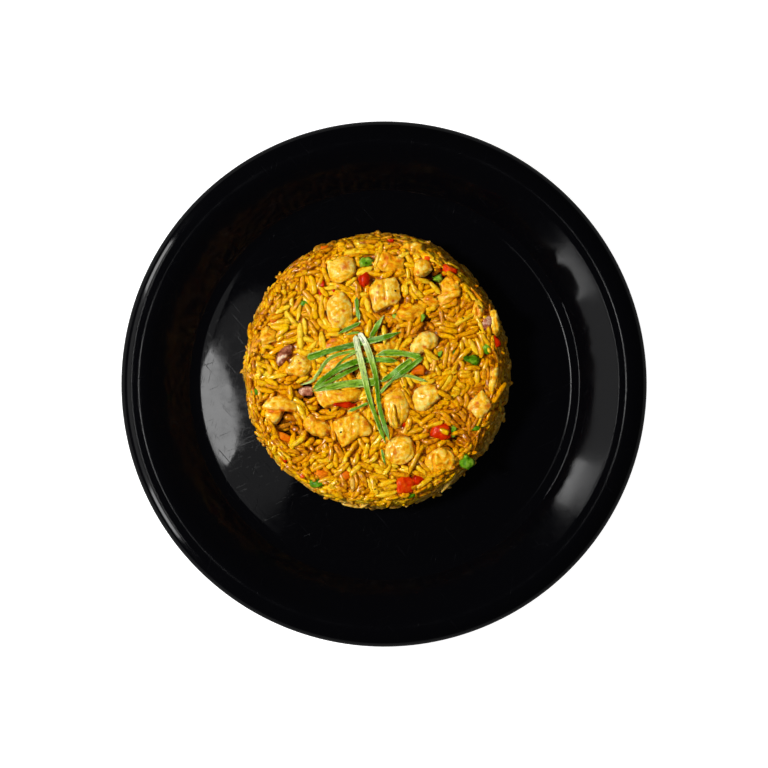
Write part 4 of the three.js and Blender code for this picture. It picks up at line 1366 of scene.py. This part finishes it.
def drape(chart, line, forward, half_width):
    """The height of a limp shred along its line: on what is under it, bridging the dips."""
    sideways = np.stack([-forward[:, 1], forward[:, 0]], axis=1)
    heights = np.zeros(len(line))
    for across in (-1, -0.5, 0, 0.5, 1):
        spots = line + sideways * (across * half_width)[:, None]
        column, row = chart.cells(spots[:, 0], spots[:, 1])
        heights = np.maximum(heights, chart.height[column, row])
    held = heights.copy()
    for _ in range(300):
        bridge = (held[:-2] + held[2:]) / 2 - 0.008
        held[1:-1] = np.maximum(heights[1:-1], bridge)
    for _ in range(3):
        held[1:-1] = np.maximum(held[1:-1], (held[:-2] + held[1:-1] + held[2:]) / 3)
    return held + SHRED_THICKNESS / 2 + 0.05


def leaf_faces(count):
    """Faces of a thin leaf with this many rows: its top, its underside and the rim between them."""
    below = count * SHRED_CROSS
    rows, columns = np.meshgrid(np.arange(count - 1), np.arange(SHRED_CROSS - 1), indexing="ij")
    first = (rows * SHRED_CROSS + columns).ravel()
    top = np.stack([first, first + SHRED_CROSS, first + SHRED_CROSS + 1, first + 1], axis=1)
    bottom = top[:, ::-1] + below
    rim = np.concatenate([
        np.arange(SHRED_CROSS - 1),
        (SHRED_CROSS - 1) + SHRED_CROSS * np.arange(count - 1),
        (count * SHRED_CROSS - 1) - np.arange(SHRED_CROSS - 1),
        SHRED_CROSS * (count - 1) - SHRED_CROSS * np.arange(count - 1),
    ])
    following = np.roll(rim, -1)
    edge = np.stack([rim, following, following + below, rim + below], axis=1)
    return np.vstack([top, bottom, edge])


def make_shred(chart, name, seed, width, tones, tips, corners):
    """A flat leaf shred with curled edges, draped on what it lies on."""
    line, forward = smooth_line(corners, SHRED_STEP)
    count = len(line)
    along = np.linspace(0, 1, count)
    travelled = along * SHRED_STEP * (count - 1)
    widths = np.interp(along, (0, 1), width)
    start = 0.03 + travelled / (tips[0] * widths[0])
    finish = 0.03 + (travelled[-1] - travelled) / (tips[1] * widths[-1])
    taper = np.minimum(1, np.minimum(start, finish))
    wobble = 1 + 0.1 * np.sin(along * 9 + seed)
    half_width = widths / 2 * taper * wobble
    heights = drape(chart, line, forward, half_width)
    sideways = np.stack([-forward[:, 1], forward[:, 0], np.zeros(count)], axis=1)
    across = np.linspace(-1, 1, SHRED_CROSS)
    fold = 0.22 * widths * (0.5 + 0.5 * np.sin(along * 7 + seed))  # how far the edges curl up
    lean = 0.35 * np.sin(along * 6 + seed * 1.7)
    surface = np.zeros((count, SHRED_CROSS, 3))
    for k, share in enumerate(across):
        spot = np.column_stack([line, heights]) + sideways * (share * half_width)[:, None]
        spot[:, 2] += np.abs(share) ** 1.5 * fold + share * lean * half_width
        surface[:, k] = spot
    normal = np.cross(np.gradient(surface, axis=0), np.gradient(surface, axis=1))
    normal /= np.linalg.norm(normal, axis=2, keepdims=True)
    normal *= np.sign(normal[..., 2:3])
    half_thick = SHRED_THICKNESS * (1 - 0.6 * np.abs(across))[None, :, None] / 2
    points = np.concatenate([(surface + normal * half_thick), (surface - normal * half_thick)]).reshape(-1, 3)
    tone = np.interp(along, (0, 0.5, 1), tones)
    tone = np.tile(np.repeat(tone, SHRED_CROSS), 2)
    shares = np.tile(across, count * 2)
    runs = np.tile(np.repeat(travelled + 40 * seed, SHRED_CROSS), 2)
    values = {"tone": tone, "across": shares, "run": runs}
    piece = mesh_object(name, points, leaf_faces(count), values)
    chart.raise_to(surface[..., 0], surface[..., 1], surface[..., 2] + SHRED_THICKNESS / 2)
    return piece


# -------------------------------------------------------------------------------------- small bits
# Bits of vegetable that lie in the rice: place, size and turn, in mm and degrees.

SMALL_BITS = {
    "red_pepper": (
        (52.5, 20, 5.7, 4.3, -50), (-29.5, 45.5, 7, 2.2, 80), (20.5, 59.5, 3, 2.2, 0),
        (-47.2, -35.4, 3.8, 2.2, -60), (9.5, -19.5, 2.6, 2.2, 0), (-24, 43.5, 2.6, 2, 20),
        (-38.5, -43.5, 2.8, 1.8, 30), (3.3, 68, 3, 2, 0),
    ),
    "carrot": (
        (-52, 31, 4.4, 3.8, 40), (-28, 64.5, 4, 2.6, 10), (-49, -25, 9.5, 4.4, -20),
        (-18.5, -43, 5, 4.4, 0),
    ),
    "green": (
        (-60, -4.5, 6, 3.4, -35), (-32, -47, 6, 3.8, 5), (48.5, 17, 5.7, 3.4, -60),
        (-37.5, 38.5, 4, 2.4, 0), (33, -22, 6, 2.4, 80), (43.5, -21, 4.4, 2.6, 0),
        (17.7, 31.2, 4.4, 2.6, 60), (12.3, -53.1, 5.8, 1.6, 12), (26.5, 14.6, 3, 2.2, 60),
        (33.5, 14.6, 3.4, 1.8, 80), (5, 32, 2.6, 2, 0), (-11, -50.5, 3, 1.6, 0),
    ),
    "onion": ((-37, -3.5, 6.6, 4.6, 0), (-5.2, -8.5, 3, 4, 0)),
}


def bit_mesh(x, y, top, length, width, turn, seed, height=3.2):
    """A small irregular dice: a subdivided cube eased, roughened and turned. Returns points and faces."""
    steps = 5  # points along each edge of the cube
    ticks = np.linspace(-1, 1, steps)
    points, faces = [], []
    for axis in range(3):
        for sign in (-1, 1):
            a, b = np.meshgrid(ticks, ticks, indexing="ij")
            side = np.zeros((steps, steps, 3))
            side[..., axis] = sign
            side[..., (axis + 1) % 3] = a
            side[..., (axis + 2) % 3] = b
            start = len(points) * steps * steps
            points.append(side.reshape(-1, 3))
            r, c = np.meshgrid(np.arange(steps - 1), np.arange(steps - 1), indexing="ij")
            first = start + (r * steps + c).ravel()
            quad = np.stack([first, first + steps, first + steps + 1, first + 1], axis=1)
            faces.append(quad if sign > 0 else quad[:, ::-1])
    points, faces = np.vstack(points), np.vstack(faces)
    _, keep, back = np.unique(np.round(points, 5), axis=0, return_index=True, return_inverse=True)
    points, faces = points[keep], back.ravel()[faces]
    eased = points / np.linalg.norm(points, axis=1, keepdims=True) * 1.12
    points = points + (eased - points) * 0.62
    points = points * np.array([length, width, height]) / 2
    dents = [smooth_noise(points + seed * 13, 1.5, seed + k) for k in range(3)]
    points += 0.11 * height * np.stack(dents, axis=1)
    return turned_level(points, -math.radians(turn)) + np.array([x, y, top - height / 2]), faces


def make_small_bits(chart, materials):
    for kind, rows in SMALL_BITS.items():
        parts, shades = [], []
        for index, (x, y, length, width, turn) in enumerate(rows):
            here = np.array([x]), np.array([y])
            top = float(top_limit(*here)[0] - 0.75 * hollows_at(*here)[0]) + 0.2
            points, faces = bit_mesh(x, y, top, length, width, turn, seed=3 + index)
            parts.append((points, faces))
            shades.append(np.full(len(points), 0.5 + 0.3 * math.sin(index * 3.3)))
            chart_cover(chart, points)
        piece = mesh_object(f"small_{kind}_bits", *joined(parts), {"shade": np.concatenate(shades)})
        serve(piece, materials[kind], kind, "rice")


# Cracked pepper, as places in the photograph's pixels and a size in mm.
PEPPER = (
    (395, 291, 1.1), (341, 432, 1.0), (330, 410, 1.2), (417, 300, 1.0), (456, 383, 0.9), (440, 469, 0.9),
    (366, 263, 0.8), (389, 244, 0.8), (356, 255, 0.9), (404, 387, 0.8), (484, 300, 0.9), (348, 458, 0.8),
    (299, 361, 0.7), (436, 344, 0.8), (375, 489, 0.8), (262, 355, 0.7), (310, 335, 0.7), (463, 318, 0.8),
)


def make_pepper(chart, material):
    parts = []
    for index, (across, down, size) in enumerate(PEPPER):
        x, y = from_photo((across, down))
        column, row = chart.cells(x, y)
        top = float(chart.height[column, row]) + 0.35 * size
        turn = 40 * index
        parts.append(bit_mesh(x, y, top, size, 0.8 * size, turn, seed=80 + index, height=0.7 * size))
    points, faces = joined(parts)
    piece = mesh_object("cracked_pepper", points, faces, {"shade": np.full(len(points), 0.5)})
    serve(piece, material, "rice", "rice")


# ------------------------------------------------------------------------------------ laying it all


def spread(grid, pick):
    """Gives each cell the larger or the smaller, as pick says, of itself and its four neighbours."""
    grown = grid.copy()
    grown[1:] = pick(grown[1:], grid[:-1])
    grown[:-1] = pick(grown[:-1], grid[1:])
    grown[:, 1:] = pick(grown[:, 1:], grid[:, :-1])
    grown[:, :-1] = pick(grown[:, :-1], grid[:, 1:])
    return grown


def chart_cover(chart, points):
    """Raises a chart to a piece's points, and closes it to grains where the piece shows.
    Grains may press in under the piece's rim by one cell."""
    column, row = chart.cells(points[:, 0], points[:, 1])
    cover = np.full(chart.shape, -np.inf)
    np.maximum.at(cover, (column, row), points[:, 2])
    for _ in range(2):  # fills the cells that fall between points
        cover = np.where(np.isfinite(cover), cover, spread(cover, np.maximum))
    cover = spread(np.where(np.isfinite(cover), cover, -100.0), np.minimum)
    chart.height = np.maximum(chart.height, cover)
    chart.closed |= cover > chart.limit - 0.5


def top_chart():
    """The top's chart: a limit with waves, ripples and hollows in it, over the core's own uneven top."""
    reach = GRAIN_EDGE + 4
    chart = Chart((HEAP_X - HEAP_LEAN - reach, HEAP_Y - reach), (HEAP_X - HEAP_LEAN + reach, HEAP_Y + reach))
    u, v = chart.grid()
    flat = np.stack([u.ravel(), v.ravel(), np.zeros(u.size)], axis=1)
    waves = smooth_noise(flat, 9.0, 5).reshape(u.shape)
    chart.lie = 3.2 * smooth_noise(flat, 13.0, 77).reshape(u.shape)
    ripples = smooth_noise(flat, 4.0, 15).reshape(u.shape)
    chart.limit = top_limit(u, v) + 0.55 * waves + 0.5 * ripples - hollows_at(u, v)
    chart.height = chart.limit - CORE_DEPTH + 0.5 * smooth_noise(flat, 4.0, 6).reshape(u.shape)
    radius, bearing = from_top_middle(u, v)
    chart.closed = radius > GRAIN_EDGE * out_of_round(bearing)
    return chart


def side_chart():
    """The side's chart: u runs round the heap and v is the height."""
    round_it = 2 * math.pi * SIDE_UNROLL - Chart.CELL
    chart = Chart((0, SIDE_HEIGHTS[0]), (round_it, SIDE_HEIGHTS[-1] - 0.6), wraps=True)
    u, v = chart.grid()
    angle = u / SIDE_UNROLL
    round_points = np.stack([60 * np.cos(angle), 60 * np.sin(angle), v], axis=-1).reshape(-1, 3)
    waves = smooth_noise(round_points, 6.0, 9).reshape(u.shape)
    chart.lie = 3.2 * smooth_noise(round_points, 12.0, 78).reshape(u.shape)
    chart.limit = side_limit(angle, v) + 0.9 * waves
    chart.height = chart.limit - CORE_DEPTH + 0.4 * smooth_noise(round_points, 4.0, 10).reshape(u.shape)
    return chart


def make_core(material):
    """What shows between the grains: packed rice and sauce, a little below their tops, coloured dark as
    painted shade in the gaps.
    """
    angles = np.linspace(0, 2 * math.pi, CORE_SEGMENTS, endpoint=False)
    rows = []
    for share in np.linspace(0.02, 1, 34):
        radius = share * (SHOULDER + 1.2)
        x = HEAP_X - HEAP_LEAN + radius * out_of_round(angles) * np.cos(angles)
        y = HEAP_Y + radius * out_of_round(angles) * np.sin(angles)
        z = top_limit(x, y) - hollows_at(x, y) - CORE_DEPTH + 0.3
        rows.append(np.stack([x, y, z], axis=1))
    for height in np.linspace(30.0, CORE_BOTTOM, 14):
        radius = side_limit(angles, height) - CORE_DEPTH + 0.4
        x = HEAP_X + lean_at(height) + radius * np.cos(angles)
        y = HEAP_Y + radius * np.sin(angles)
        rows.append(np.stack([x, y, np.full(CORE_SEGMENTS, height)], axis=1))
    points = np.vstack(rows)
    points[:, 2] += np.where(points[:, 2] > 28, 0.35 * smooth_noise(points, 2.0, 31), 0)
    ends = [(HEAP_X - HEAP_LEAN, HEAP_Y, CROWN - CORE_DEPTH), (HEAP_X, HEAP_Y, CORE_BOTTOM)]
    points = np.vstack([points, ends])
    shade = {"shade": np.full(len(points), 0.3)}
    piece = mesh_object("rice_core", points, closed_tube(len(rows), CORE_SEGMENTS), shade)
    return serve(piece, material, "rice", "rice")


# Grains that lie loose on top, each from one end to the other, in mm.
LOOSE_GRAINS = (
    ((27.3, -52.5), (34.8, -41.8)), ((51.8, -8.5), (57.6, 0.8)), ((29.7, 52.7), (36.3, 48.5)),
    ((16.2, 49.5), (21.8, 47.9)), ((21.8, 47.9), (26.3, 42.9)), ((19.2, 16), (25.4, 11.2)),
    ((11.3, -42), (18.2, -29.2)), ((4.2, -9.9), (5.6, -20.6)), ((0, 27.8), (0.5, 18.4)),
    ((25.4, -3.3), (32, -7)), ((26.5, -21.5), (30.2, -23.2)), ((-64.2, 29.3), (-63.6, 21)),
)


DRY_HEIGHT = 22  # grains lower than about this take the duller dry finish
BLUR = 3.0  # cells that the sauce smooths over
BLUR_MARGIN = 24


def kinds_of(places, random):
    """Which finish each grain has: golden, in patches paler or saucier, and dry round the side."""
    draw = smooth_noise(places, 7.0, 91) + random.normal(0, 0.35, len(places))
    right = (places[:, 0] - HEAP_X) / 60
    flavours = np.where(draw < -0.24 - 0.06 * right, "saucy", "golden")
    kinds = np.where(draw > 0.36 - 0.14 * right, "pale", flavours)
    low = places[:, 2] + random.normal(0, 5.0, len(places)) < DRY_HEIGHT
    return np.where(low, "dry", kinds)


SAUCE_STEP = 2  # cells of a chart between the sauce's points


def blurred(heights, sigma):
    """A chart's heights smoothed over about this many cells."""
    padded = np.pad(heights, BLUR_MARGIN, mode="edge")
    along = np.fft.fftfreq(padded.shape[0])[:, None]
    across = np.fft.fftfreq(padded.shape[1])[None, :]
    falloff = np.exp(-2 * (math.pi * sigma) ** 2 * (along**2 + across**2))
    smooth = np.fft.ifft2(np.fft.fft2(padded) * falloff).real
    return smooth[BLUR_MARGIN:-BLUR_MARGIN, BLUR_MARGIN:-BLUR_MARGIN]


def top_sauce(chart):
    """Points and faces of the sauce on top."""
    u, v = chart.grid()
    film = blurred(np.minimum(chart.height, chart.limit), BLUR) - SAUCE_DEPTH - 0.8 * hollows_at(u, v)
    film, u, v = (grid[::SAUCE_STEP, ::SAUCE_STEP] for grid in (film, u, v))
    radius, bearing = from_top_middle(u, v)
    inside = radius < SAUCE_EDGE * out_of_round(bearing)
    index = np.arange(u.size).reshape(u.shape)
    whole = inside[:-1, :-1] & inside[1:, :-1] & inside[1:, 1:] & inside[:-1, 1:]
    corners = [index[:-1, :-1], index[1:, :-1], index[1:, 1:], index[:-1, 1:]]
    faces = np.stack([corner[whole] for corner in corners], axis=1)
    used = np.unique(faces)
    renumber = np.zeros(u.size, int)
    renumber[used] = np.arange(len(used))
    return np.stack([u, v, film], axis=-1).reshape(-1, 3)[used], renumber[faces]


def side_sauce(chart):
    """Points and faces of the sauce round the side."""
    wall = (blurred(chart.height, BLUR) - SAUCE_DEPTH)[::SAUCE_STEP, ::SAUCE_STEP]
    u, v = (axis[::SAUCE_STEP, ::SAUCE_STEP] for axis in chart.grid())
    angle = u / SIDE_UNROLL
    x, y = HEAP_X + lean_at(v) + wall * np.cos(angle), HEAP_Y + wall * np.sin(angle)
    index = np.arange(u.size).reshape(u.shape)
    after = np.roll(index, -1, axis=0)
    corners = [index[:, :-1], after[:, :-1], after[:, 1:], index[:, 1:]]
    faces = np.stack([corner.ravel() for corner in corners], axis=1)
    return np.stack([x, y, v], axis=-1).reshape(-1, 3), faces


def make_sauce(top, side, material):
    """Sauce that has gathered between the grains, a little below their tops, painted darker the deeper it
    lies as painted shade.
    """
    points, faces = joined([top_sauce(top), side_sauce(side)])
    points[:, 2] += 0.4 * smooth_noise(points, 1.3, 60)
    # Painted shade: the sauce is darker the deeper it lies between the grains.
    shade = np.clip(0.75 - 0.16 * (depth_within(points) - SAUCE_DEPTH), 0, 1)
    piece = mesh_object("rice_sauce", points, faces, {"shade": shade})
    return serve(piece, material, "rice", "rice")


STRAYS = 110


def side_strays(chart, random):
    """Grains that stand a little off the side, each with one end pressed in."""
    strays = []
    for _ in range(STRAYS):
        u = random.uniform(0, 2 * math.pi * SIDE_UNROLL)
        v = random.uniform(SIDE_HEIGHTS[0] + 1.5, SIDE_HEIGHTS[-1] - 1.5)
        width = random.uniform(2.1, 2.6)
        size = (random.uniform(4.5, 8.5), width, 0.85 * width)
        column, row = chart.cells(u, v)
        slope = random.choice((-1, 1)) * random.uniform(0.3, 0.8)
        middle = float(chart.height[column, row]) - 0.4
        strays.append((u, v, random.uniform(-1.2, 1.2), size, (middle, slope, 0.0)))
    return strays


FILL_STEPS = (2.4, 1.2, 0.4, 0.0)  # how far under its limit a chart is filled, layer by layer
TOP_TOLERANCE = 0.9  # how far grains may stand over the limit
SIDE_TOLERANCE = 0.7
RIM_START = 56  # from the heap's middle to where the top starts to turn down
RIM_WIDTH = 7


def loose_grain(chart, start, end):
    """A grain laid on the chart from one place to another, as long as it shows and its rounded tips more."""
    start, end = np.array(start), np.array(end)
    middle = (start + end) / 2
    run = end - start
    size = (float(np.linalg.norm(run)) + 1.0, 2.5, 2.1)
    spin = math.atan2(run[1], run[0])
    middles, slopes, rolls, _ = try_grains(chart, middle[0:1], middle[1:2], np.array([spin]), size, 0.2)
    rest = (middles[0], slopes[0], rolls[0])
    lay_grain(chart, middle[0], middle[1], spin, size, rest)
    return middle[0], middle[1], spin, size, rest


def grain_shades(places, random):
    """How pale each grain is, from 0 to 1: by patches and by chance, with painted light and shade by the side
    of the lamp: on the top the lit side is paler, on the rim it is darker and the far side paler.
    """
    away = np.hypot(places[:, 0] - HEAP_X, places[:, 1] - HEAP_Y)
    rim = np.clip((away - RIM_START) / RIM_WIDTH, 0, 1)
    toward_light = (places[:, 1] - HEAP_Y - places[:, 0] + HEAP_X) / 130
    shades = 0.5 + 0.22 * smooth_noise(places, 3.5, 92) + random.normal(0, 0.09, len(places))
    # Painted light and shade: paler towards the lamp on the top, darker on the lamp's side of the rim.
    return shades + (0.22 - 0.55 * rim) * toward_light


def make_rice(top, side, materials):
    """The grains: both charts filled, the strays and the loose ones, and one piece for each finish."""
    random = np.random.default_rng(SEED)
    shapes = [grain_shape(random) for _ in range(SHAPES)]
    top_grains, side_grains = [], []
    for chart, grains, tolerance in ((top, top_grains, TOP_TOLERANCE), (side, side_grains, SIDE_TOLERANCE)):
        limit = chart.limit
        for drop in FILL_STEPS:
            chart.limit = limit - drop
            grains.extend(settle(chart, random, tolerance))
    side_grains += side_strays(side, random)
    top_grains += [loose_grain(top, start, end) for start, end in LOOSE_GRAINS]
    poses = [top_pose(grain) for grain in top_grains]
    poses += [side_pose(clear_of_plate(grain)) for grain in side_grains]
    places = np.array([pose[0] for pose in poses])
    kinds = kinds_of(places, random)
    shades = grain_shades(places, random)
    for kind, material in materials.items():
        chosen = [pose + (shade,) for pose, shade, own in zip(poses, shades, kinds) if own == kind]
        grain_batch(f"rice_{kind}", chosen, shapes, random, material)


# ---------------------------------------------------------------------------------- light and camera

SENSOR_WIDTH = 36.0
FLOOR_REACH = 900
AIM = (0, 0, 0.02)  # the lamps point here. Lights are placed in metres
LAMP_PLACE = (-0.62, 0.1, 1.04)

# Panels that only show in gloss: bearing, low and high edge and spread in degrees, and watts.
PANELS = {
    "window": (181, 17, 37, 46, 1.5),
    "window_head": (182, 41.2, 42.4, 72, 1.6),
    "window_side_low": (210.5, 15, 30, 12.5, 3.4),
    "window_side_high": (152.4, 15, 30, 12.5, 3.5),
}

# Lamps that light the food but don't show in gloss: place, size in metres, and watts.
SOFT_LAMPS = {
    "key": (LAMP_PLACE, 0.18, 12.8),
    "fill": ((-0.3, 0.0, 1.2), 0.8, 2.5),
}

# Oval lamps straight over the plate that only show in gloss: place, size, watts and turn in degrees.
OVAL_LAMPS = {
    "over_left": ((-0.232, -0.026), (0.074, 0.172), 0.92, 13),
    "over_left_glow": ((-0.17, -0.03), (0.13, 0.3), 0.13, 0),
}
OVAL_HEIGHT = 1.5
SHINE_SIZE = 0.42
SHINE_POWER = 15.0


def area_light(name, place, target, size, power, seen_in_gloss=True, lights_matte=True, shape="RECTANGLE"):
    data = bpy.data.lights.new(name, "AREA")
    data.shape = shape
    data.size, data.size_y = size
    data.energy = power
    lamp = bpy.data.objects.new(name, data)
    lamp.location = place
    lamp.rotation_euler = (Vector(target) - Vector(place)).to_track_quat("-Z", "Y").to_euler()
    lamp.visible_glossy = seen_in_gloss
    lamp.visible_diffuse = lights_matte
    bpy.context.scene.collection.objects.link(lamp)
    return lamp


def bearing_panel(name, bearing, low, high, spread, power, distance=0.95):
    """A panel at this bearing and height, in degrees, that only shows in gloss."""
    middle = math.radians((low + high) / 2)
    turn = math.radians(bearing)
    away = Vector((math.cos(turn) * math.cos(middle), math.sin(turn) * math.cos(middle), math.sin(middle)))
    size = (
        2 * distance * math.tan(math.radians(spread / 2)) * math.cos(middle),
        2 * distance * math.tan(math.radians((high - low) / 2)),
    )
    return area_light(name, away * distance, AIM, size, power, lights_matte=False)


def pale_floor():
    """A plain floor that the camera sees as white, and that throws little back at the plate."""
    material, tree, shader = new_material("pale_floor")
    seen = place_node(tree, "ShaderNodeLightPath").outputs["Is Camera Ray"]
    fill(tree, shader, {
        "Base Color": (0.5, 0.5, 0.5, 1), "Roughness": 0.9, "Specular IOR Level": 0.0,
        "Emission Color": (1, 1, 1, 1), "Emission Strength": seen,
    })
    return material


def place_camera(scene):
    data = bpy.data.cameras.new("camera")
    data.sensor_width = SENSOR_WIDTH
    data.lens = SENSOR_WIDTH * FOCAL_PIXELS / PHOTO_WIDTH
    camera = bpy.data.objects.new("camera", data)
    camera.location = (0.0, 0.0, CAMERA_HEIGHT * MM)
    scene.collection.objects.link(camera)
    scene.camera = camera


def light_world(scene):
    """A white backdrop for the camera, and a faint light from all round."""
    world = bpy.data.worlds.new("studio")
    world.use_nodes = True
    tree = world.node_tree
    seen = place_node(tree, "ShaderNodeLightPath").outputs["Is Camera Ray"]
    strength = arithmetic(tree, "ADD", arithmetic(tree, "MULTIPLY", seen, 0.9), 0.06)
    fill(tree, tree.nodes["Background"], {"Color": (1, 1, 1, 1), "Strength": strength})
    scene.world = world


def make_studio():
    """The camera, the floor and the lights. Gives the lamp that is to shine on the food alone."""
    scene = bpy.context.scene
    place_camera(scene)
    corners = np.array([(-1, -1, 0), (1, -1, 0), (1, 1, 0), (-1, 1, 0)], float) * FLOOR_REACH
    floor = mesh_object("floor", corners, np.array([[0, 1, 2, 3]]))
    floor.data.materials.append(pale_floor())
    light_world(scene)
    for name, (place, side, power) in SOFT_LAMPS.items():
        area_light(name, place, AIM, (side, side), power, seen_in_gloss=False)
    for name, ((x, y), size, power, turn) in OVAL_LAMPS.items():
        above = (x, y, OVAL_HEIGHT)
        lamp = area_light(name, above, (x, y, 0), size, power, lights_matte=False, shape="ELLIPSE")
        lamp.rotation_euler = (0, 0, math.radians(turn))
    for name, row in PANELS.items():
        bearing_panel(name, *row)
    scene.view_settings.view_transform = "Standard"
    scene.view_settings.look = "None"
    return area_light("shine", LAMP_PLACE, AIM, (SHINE_SIZE, SHINE_SIZE), SHINE_POWER, lights_matte=False)


def shine_on_food(lamp):
    """The oily highlights come from one lamp that leaves the plate and the floor alone."""
    food = bpy.data.collections.new("food")
    for piece in bpy.context.scene.collection.objects:
        if piece.type == "MESH" and piece.name not in ("dinner_plate", "floor"):
            food.objects.link(piece)
    lamp.light_linking.receiver_collection = food


# ------------------------------------------------------------------------------------------- serving


def serve_all():
    rice = {name: rice_material(name, *finish) for name, finish in RICE_FINISHES.items()}
    chicken = chicken_material()
    vegetables = {}
    for kind, (name, tints, differences) in VEGETABLE_FINISHES.items():
        vegetables[kind] = food_material(name, tints, **differences)[0]
    pepper = food_material("black_pepper", ((38, 26, 18), (90, 66, 40), (12, 8, 6)), film=0.1)[0]
    scallion = scallion_material()
    make_plate()
    make_core(rice["core_with_painted_shade"])
    top, side = top_chart(), side_chart()
    toppings = make_chicken(chicken)
    toppings += make_vegetables(vegetables)
    for piece in toppings:
        chart_cover(top, mesh_points(piece.data))
    make_small_bits(top, vegetables)
    make_rice(top, side, {kind: rice[f"{kind}_rice"] for kind in GRAIN_KINDS})
    make_sauce(top, side, rice["oily_sauce"])
    make_pepper(top, pepper)
    for number, shred in enumerate(SHREDS, start=1):
        piece = make_shred(top, f"spring_onion_{number:02d}", number, *shred)
        serve(piece, scallion, "scallion", f"scallion_{number:02d}")
    for number, thread in enumerate(THREADS, start=1):
        piece = make_shred(top, f"spring_onion_thread_{number}", 20 + number, *thread)
        serve(piece, scallion, "scallion", "rice")


shine = make_studio()
serve_all()
shine_on_food(shine)
